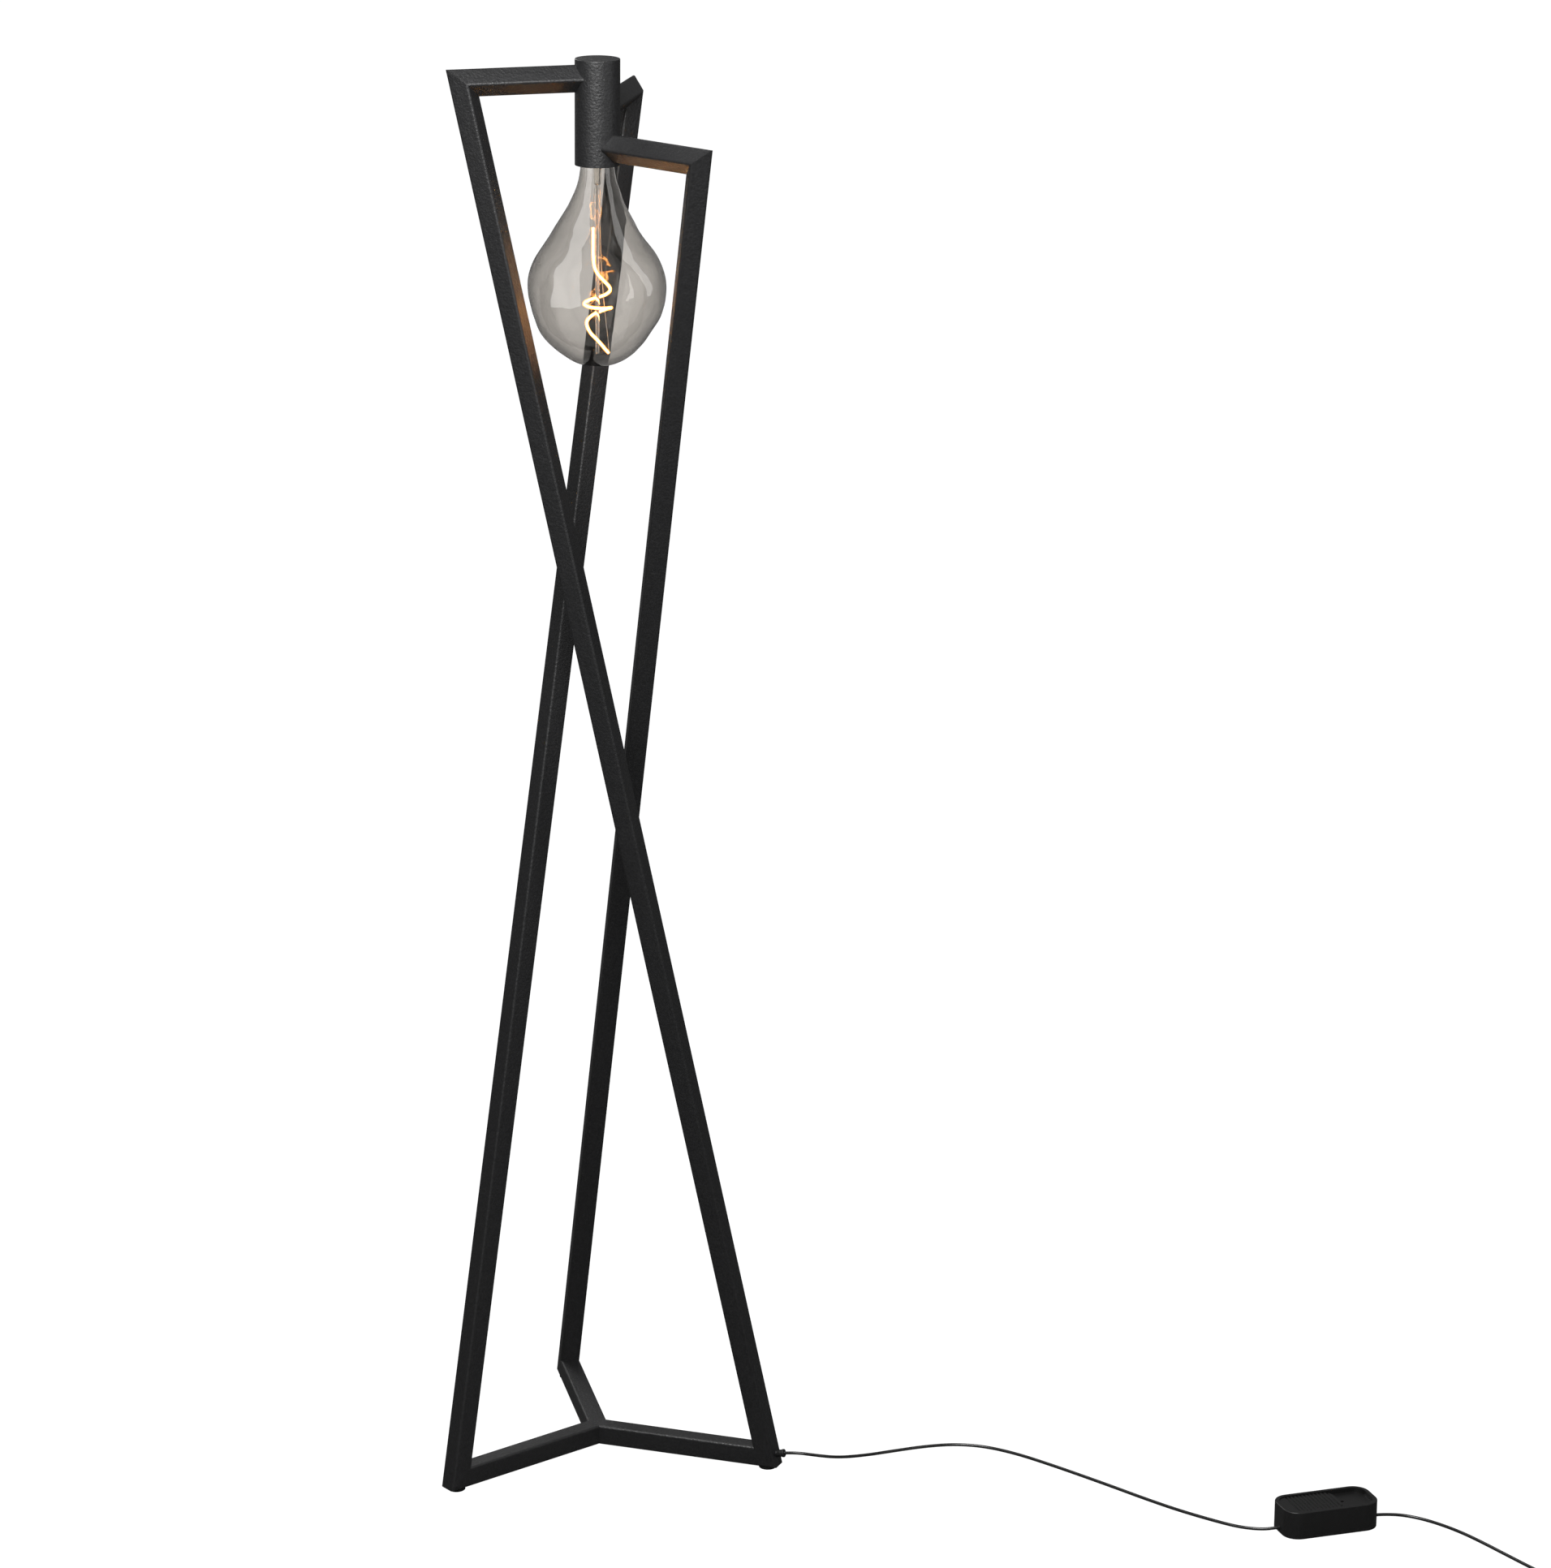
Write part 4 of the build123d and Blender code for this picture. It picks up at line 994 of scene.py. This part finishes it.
class LAMP_OT_filament(bpy.types.Operator):
    """Hang the lit filament and its wires round the glass rod."""

    bl_idname = "lamp.filament"
    bl_label = "Filament and wires"

    def execute(self, context):
        bulb = bulb_settings()
        points = [in_bulb(*point) for point in FILAMENT_ROUTE]
        core = wire("bulb_filament_core", points, bulb.filament_radius, FILAMENT_STEPS)
        core = as_mesh(core)
        place(core, "bulb", lit_filament(), ["bulb_filament"])
        coat = wire("bulb_filament_coat", points, bulb.coat_radius, FILAMENT_STEPS)
        coat = as_mesh(coat)
        place(coat, "bulb", lit_coat(), ["bulb_filament"])
        coat.visible_shadow = False
        steel = plated("wire_drawn", finish_settings().nickel, roughness=0.3)
        wires = [
            as_mesh(wire(f"bulb_wire_{index}", [in_bulb(*p) for p in run], bulb.wire_radius))
            for index, run in enumerate(LEAD_ROUTES)
        ]
        pick(wires[0])
        wires[1].select_set(True)
        bpy.ops.object.join()
        place(settle(wires[0], "bulb_leads_drawn"), "bulb", steel, ["bulb_leads"])
        return {"FINISHED"}


class LAMP_OT_stem(bpy.types.Operator):
    """Turn the bulb's hollow glass flare and the long solid rod below it."""

    bl_idname = "lamp.stem"
    bl_label = "Glass stem"

    def execute(self, context):
        outlines = {"bulb_stem_flare": FLARE_OUTLINE, "bulb_stem_drawn": ROD_OUTLINE}
        pieces = []
        for name, outline in outlines.items():
            scaled = [(radius * MM, GLASS_LOW + height * MM) for radius, height in outline]
            pieces.append(turned(name, scaled, STEM_STEPS))
        flare, piece = pieces
        add_modifier(flare, "SOLIDIFY", thickness=FLARE_WALL, offset=-1.0)
        apply_modifiers(flare)
        pick(piece)
        flare.select_set(True)
        bpy.ops.object.join()
        smooth(piece, STEM_CREASE)
        place(piece, "bulb", clear_glass(), ["bulb_stem"])
        piece.visible_shadow = False
        return {"FINISHED"}


class LAMP_OT_bulb_cap(bpy.types.Operator):
    """Finish the bulb's cap, insulator and contact."""

    bl_idname = "lamp.bulb_cap"
    bl_label = "Bulb cap"

    def execute(self, context):
        finish = finish_settings()
        nickel = plated("nickel_plate_cap", finish.nickel, roughness=0.22)
        black = moulded_plastic("glass_black", finish.moulded, roughness=0.2)
        tin = plated("tin_contact", finish.zinc, roughness=0.35)
        dressed_copy("bulb_cap", nickel)
        dressed_copy("bulb_cap_insulator", black)
        dressed_copy("bulb_contact", tin)
        return {"FINISHED"}


# ------------------------------------------------------------- the pieces on the cord
class LAMP_OT_grip(bpy.types.Operator):
    """Finish the cord grip at foot b."""

    bl_idname = "lamp.grip"
    bl_label = "Cord grip"

    def execute(self, context):
        finish = finish_settings()
        nylon = moulded_plastic("nylon_moulded", finish.moulded, roughness=0.45)
        steel = plated("steel_blackened", finish.blackened, roughness=0.4)
        dressed_copy("cord_grip", nylon)
        dressed_copy("cord_grip_nut", nylon)
        dressed_copy("cord_grip_screw", steel)
        return {"FINISHED"}


class LAMP_OT_dimmer(bpy.types.Operator):
    """Finish the dimmer, its slider and what it holds."""

    bl_idname = "lamp.dimmer"
    bl_label = "Dimmer"

    def execute(self, context):
        finish = finish_settings()
        shell = moulded_plastic("abs_moulded", finish.moulded, roughness=0.4)
        slider = moulded_plastic("abs_moulded_slider", finish.moulded, roughness=0.34)
        zinc = plated("zinc_plate_screws", finish.zinc, roughness=0.3)
        board = plain_part("circuit_board_resist", finish.board, roughness=0.3)
        case = plain_part("component_case", finish.case, roughness=0.4)
        ferrite = plain_part("ferrite_ring", finish.ferrite, roughness=0.5)
        dipped = plain_part("capacitor_dipped", finish.capacitor, roughness=0.25)
        for node in ("dimmer_cover", "dimmer_plate", "dimmer_bushes", "dimmer_clamps"):
            dressed_copy(node, shell)
        dressed_copy("dimmer_slider", slider)
        dressed_copy("dimmer_feet", rubber())
        dressed_copy("dimmer_screws", zinc)
        dressed_copy("dimmer_board", board)
        dressed_copy("dimmer_potentiometer", case)
        dressed_copy("dimmer_choke", ferrite)
        dressed_copy("dimmer_capacitor", dipped)
        dressed_copy("dimmer_cord_ends", cord_sheath())
        return {"FINISHED"}


class LAMP_OT_plug(bpy.types.Operator):
    """Finish the plug, its strain relief and its pins."""

    bl_idname = "lamp.plug"
    bl_label = "Plug"

    def execute(self, context):
        finish = finish_settings()
        pvc = moulded_plastic("pvc_moulded", finish.moulded, roughness=0.42)
        nickel = plated("nickel_plate_pins", finish.nickel, roughness=0.2)
        dressed_copy("plug_body", pvc)
        dressed_copy("plug_relief", pvc)
        dressed_copy("plug_pins", nickel)
        return {"FINISHED"}


# --------------------------------------------------------------------------- the stage
WHITE = linear("#ffffff")
FLOOR_PALE = linear("#e7e7e7")
FLOOR_SIDE = 160.0  # length of a side of the floor, in metres
FLOOR_WHITE = 1.2  # strength of the floor's white; SEEN_SHARE of it is still white
SEEN_SHARE = 0.85  # share of that white in what is seen; the rest keeps the lamp's shadow
GLOSS_SHARE = 1.15  # how many times that share a gloss sees
CEILING_FROM, CEILING_FULL = 0.18, 0.22  # how far up a ray points where the ceiling starts
LAMP_MIDDLE = (0.0, 0.0, 1.4)
PANEL_AIM = (0.0, 0.0, 2.9)  # as high as the panels stand, so that they are upright
LEFT_PANEL = 2  # times the right panel's power
# Where each softbox stands, and its width and height, in metres.
KEY_AT, KEY_SIZE = (0.33, -1.57, 2.7), (1.4, 1.0)
SIDE_AT, SIDE_SIZE = (2.2, -0.4, 1.8), (0.8, 1.6)
BACK_AT, BACK_SIZE = (-1.9, 1.7, 2.5), (1.4, 1.4)
LEFT_AT, LEFT_SIZE = (-1.35, -1.73, 2.9), (2.1, 4.2)
RIGHT_AT, RIGHT_SIZE = (2.2, 0.1, 2.9), (1.4, 4.2)


def backdrop_rays(tree, mirrored):
    """How bright a ray sees the white backdrop.

    It is 1 where it is seen directly or through glass, and as given where a gloss mirrors it.
    """
    camera = add_node(tree, "ShaderNodeLightPath", output="Is Camera Ray")
    passed = add_node(tree, "ShaderNodeLightPath", output="Is Transmission Ray")
    glossy = add_node(tree, "ShaderNodeLightPath", output="Is Glossy Ray")
    plain = add_node(tree, MATH, {0: camera, 1: passed}, operation="MAXIMUM")
    gloss = add_node(tree, MATH, {0: glossy, 1: mirrored}, operation="MULTIPLY")
    return add_node(tree, MATH, {0: plain, 1: gloss}, operation="MAXIMUM")


def softbox(name, place_at, aim, size, watts, on_glass=False):
    """A softbox aimed at a point, which lights all but the bulb's glass or only that."""
    deselect()
    heading = Vector(aim) - Vector(place_at)
    turn = heading.to_track_quat("-Z", "Y").to_euler()
    bpy.ops.object.light_add(type="AREA", location=place_at, rotation=turn)
    light = bpy.context.object
    light.name = name
    light.data.shape = "RECTANGLE"
    light.data.size = size[0]
    light.data.size_y = size[1]
    light.data.energy = watts
    light.visible_camera = False
    receivers = bpy.data.collections.new(name)
    receivers.objects.link(bpy.data.objects["bulb_glass_blown"])
    linking = receivers.collection_objects[0].light_linking
    linking.link_state = "INCLUDE" if on_glass else "EXCLUDE"
    light.light_linking.receiver_collection = receivers


class LAMP_OT_stage(bpy.types.Operator):
    """Lay the pale floor and set up the white backdrop and the soft studio light."""

    bl_idname = "lamp.stage"
    bl_label = "Stage"

    def execute(self, context):
        view = view_settings()
        self.lay_floor(view)
        self.light_backdrop(context.scene, view)
        left, right = LEFT_PANEL * view.panel_power, view.panel_power
        softbox("key_light", KEY_AT, LAMP_MIDDLE, KEY_SIZE, view.key_power)
        softbox("side_light", SIDE_AT, LAMP_MIDDLE, SIDE_SIZE, view.side_power)
        softbox("back_light", BACK_AT, LAMP_MIDDLE, BACK_SIZE, view.back_power)
        softbox("left_panel", LEFT_AT, PANEL_AIM, LEFT_SIZE, left, on_glass=True)
        softbox("right_panel", RIGHT_AT, PANEL_AIM, RIGHT_SIZE, right, on_glass=True)
        context.scene.view_settings.view_transform = "Standard"
        return {"FINISHED"}

    def lay_floor(self, view):
        """A matt pale floor, which the camera sees nearly white and a gloss nearly dark."""
        deselect()
        bpy.ops.mesh.primitive_plane_add(size=FLOOR_SIDE, location=(0, 0, 0))
        floor = settle(bpy.context.object, "floor")
        material, tree = new_material("floor_pale")
        pale = add_node(tree, "ShaderNodeBsdfDiffuse", {"Color": (*FLOOR_PALE, 1.0)})
        seen = {0: backdrop_rays(tree, view.mirrored), 1: FLOOR_WHITE}
        level = add_node(tree, MATH, seen, operation="MULTIPLY")
        bright = add_node(tree, "ShaderNodeEmission", {"Color": (*WHITE, 1.0), "Strength": level})
        covered = {0: backdrop_rays(tree, GLOSS_SHARE), 1: SEEN_SHARE}
        share = add_node(tree, MATH, covered, operation="MULTIPLY")
        blend = {0: share, 1: pale, 2: bright}
        paint(floor, finish_surface(material, "ShaderNodeMixShader", blend))

    def light_backdrop(self, scene, view):
        """A white backdrop, whose walls and ceiling a gloss mirrors as an unlit studio."""
        world = scene.world or bpy.data.worlds.new("studio")
        scene.world = world
        world.use_nodes = True
        tree = world.node_tree
        tree.nodes.clear()
        heading = add_node(tree, COORDINATES, output="Generated")
        upward = add_node(tree, "ShaderNodeSeparateXYZ", {0: heading}, output="Z")
        wall_to_ceiling = {
            "Value": upward,
            "From Min": CEILING_FROM,
            "From Max": CEILING_FULL,
            "To Min": view.mirrored,
            "To Max": view.dim_sky,
        }
        studio = backdrop_rays(tree, add_node(tree, MAP_RANGE, wall_to_ceiling))
        strength = add_node(tree, MATH, {0: studio, 1: view.ambient}, operation="MAXIMUM")
        white = {"Color": (*WHITE, 1.0), "Strength": strength}
        sky = add_node(tree, "ShaderNodeBackground", white)
        add_node(tree, "ShaderNodeOutputWorld", {"Surface": sky})


# ------------------------------------------------------------------- panel and running
STEPS = (
    LAMP_OT_camera,
    LAMP_OT_cord,
    LAMP_OT_frame,
    LAMP_OT_feet,
    LAMP_OT_holder,
    LAMP_OT_bulb_glass,
    LAMP_OT_filament,
    LAMP_OT_stem,
    LAMP_OT_bulb_cap,
    LAMP_OT_grip,
    LAMP_OT_dimmer,
    LAMP_OT_plug,
    LAMP_OT_stage,
)
GROUPS = {
    "lamp_view": LampView,
    "lamp_bulb": LampBulb,
    "lamp_cord": LampCord,
    "lamp_finish": LampFinish,
}


class LAMP_PT_panel(bpy.types.Panel):
    """Lists the lamp's sizes, colours and steps in the 3D view's sidebar."""

    bl_idname = "LAMP_PT_panel"
    bl_label = "Floor lamp"
    bl_space_type = "VIEW_3D"
    bl_region_type = "UI"
    bl_category = "Lamp"

    def draw(self, context):
        for name, group in GROUPS.items():
            box = self.layout.box()
            for prop in group.__annotations__:
                box.prop(getattr(context.scene, name), prop)
        for step in STEPS:
            self.layout.operator(step.bl_idname)


def register():
    for group in GROUPS.values():
        bpy.utils.register_class(group)
    for step in STEPS:
        bpy.utils.register_class(step)
    bpy.utils.register_class(LAMP_PT_panel)
    for name, group in GROUPS.items():
        setattr(bpy.types.Scene, name, PointerProperty(type=group))


def unregister():
    for name in GROUPS:
        delattr(bpy.types.Scene, name)
    for kind in (LAMP_PT_panel, *STEPS, *GROUPS.values()):
        bpy.utils.unregister_class(kind)


def main():
    register()
    deselect()
    for step in STEPS:
        getattr(bpy.ops.lamp, step.bl_idname.split(".")[1])()


if __name__ == "__main__":
    main()
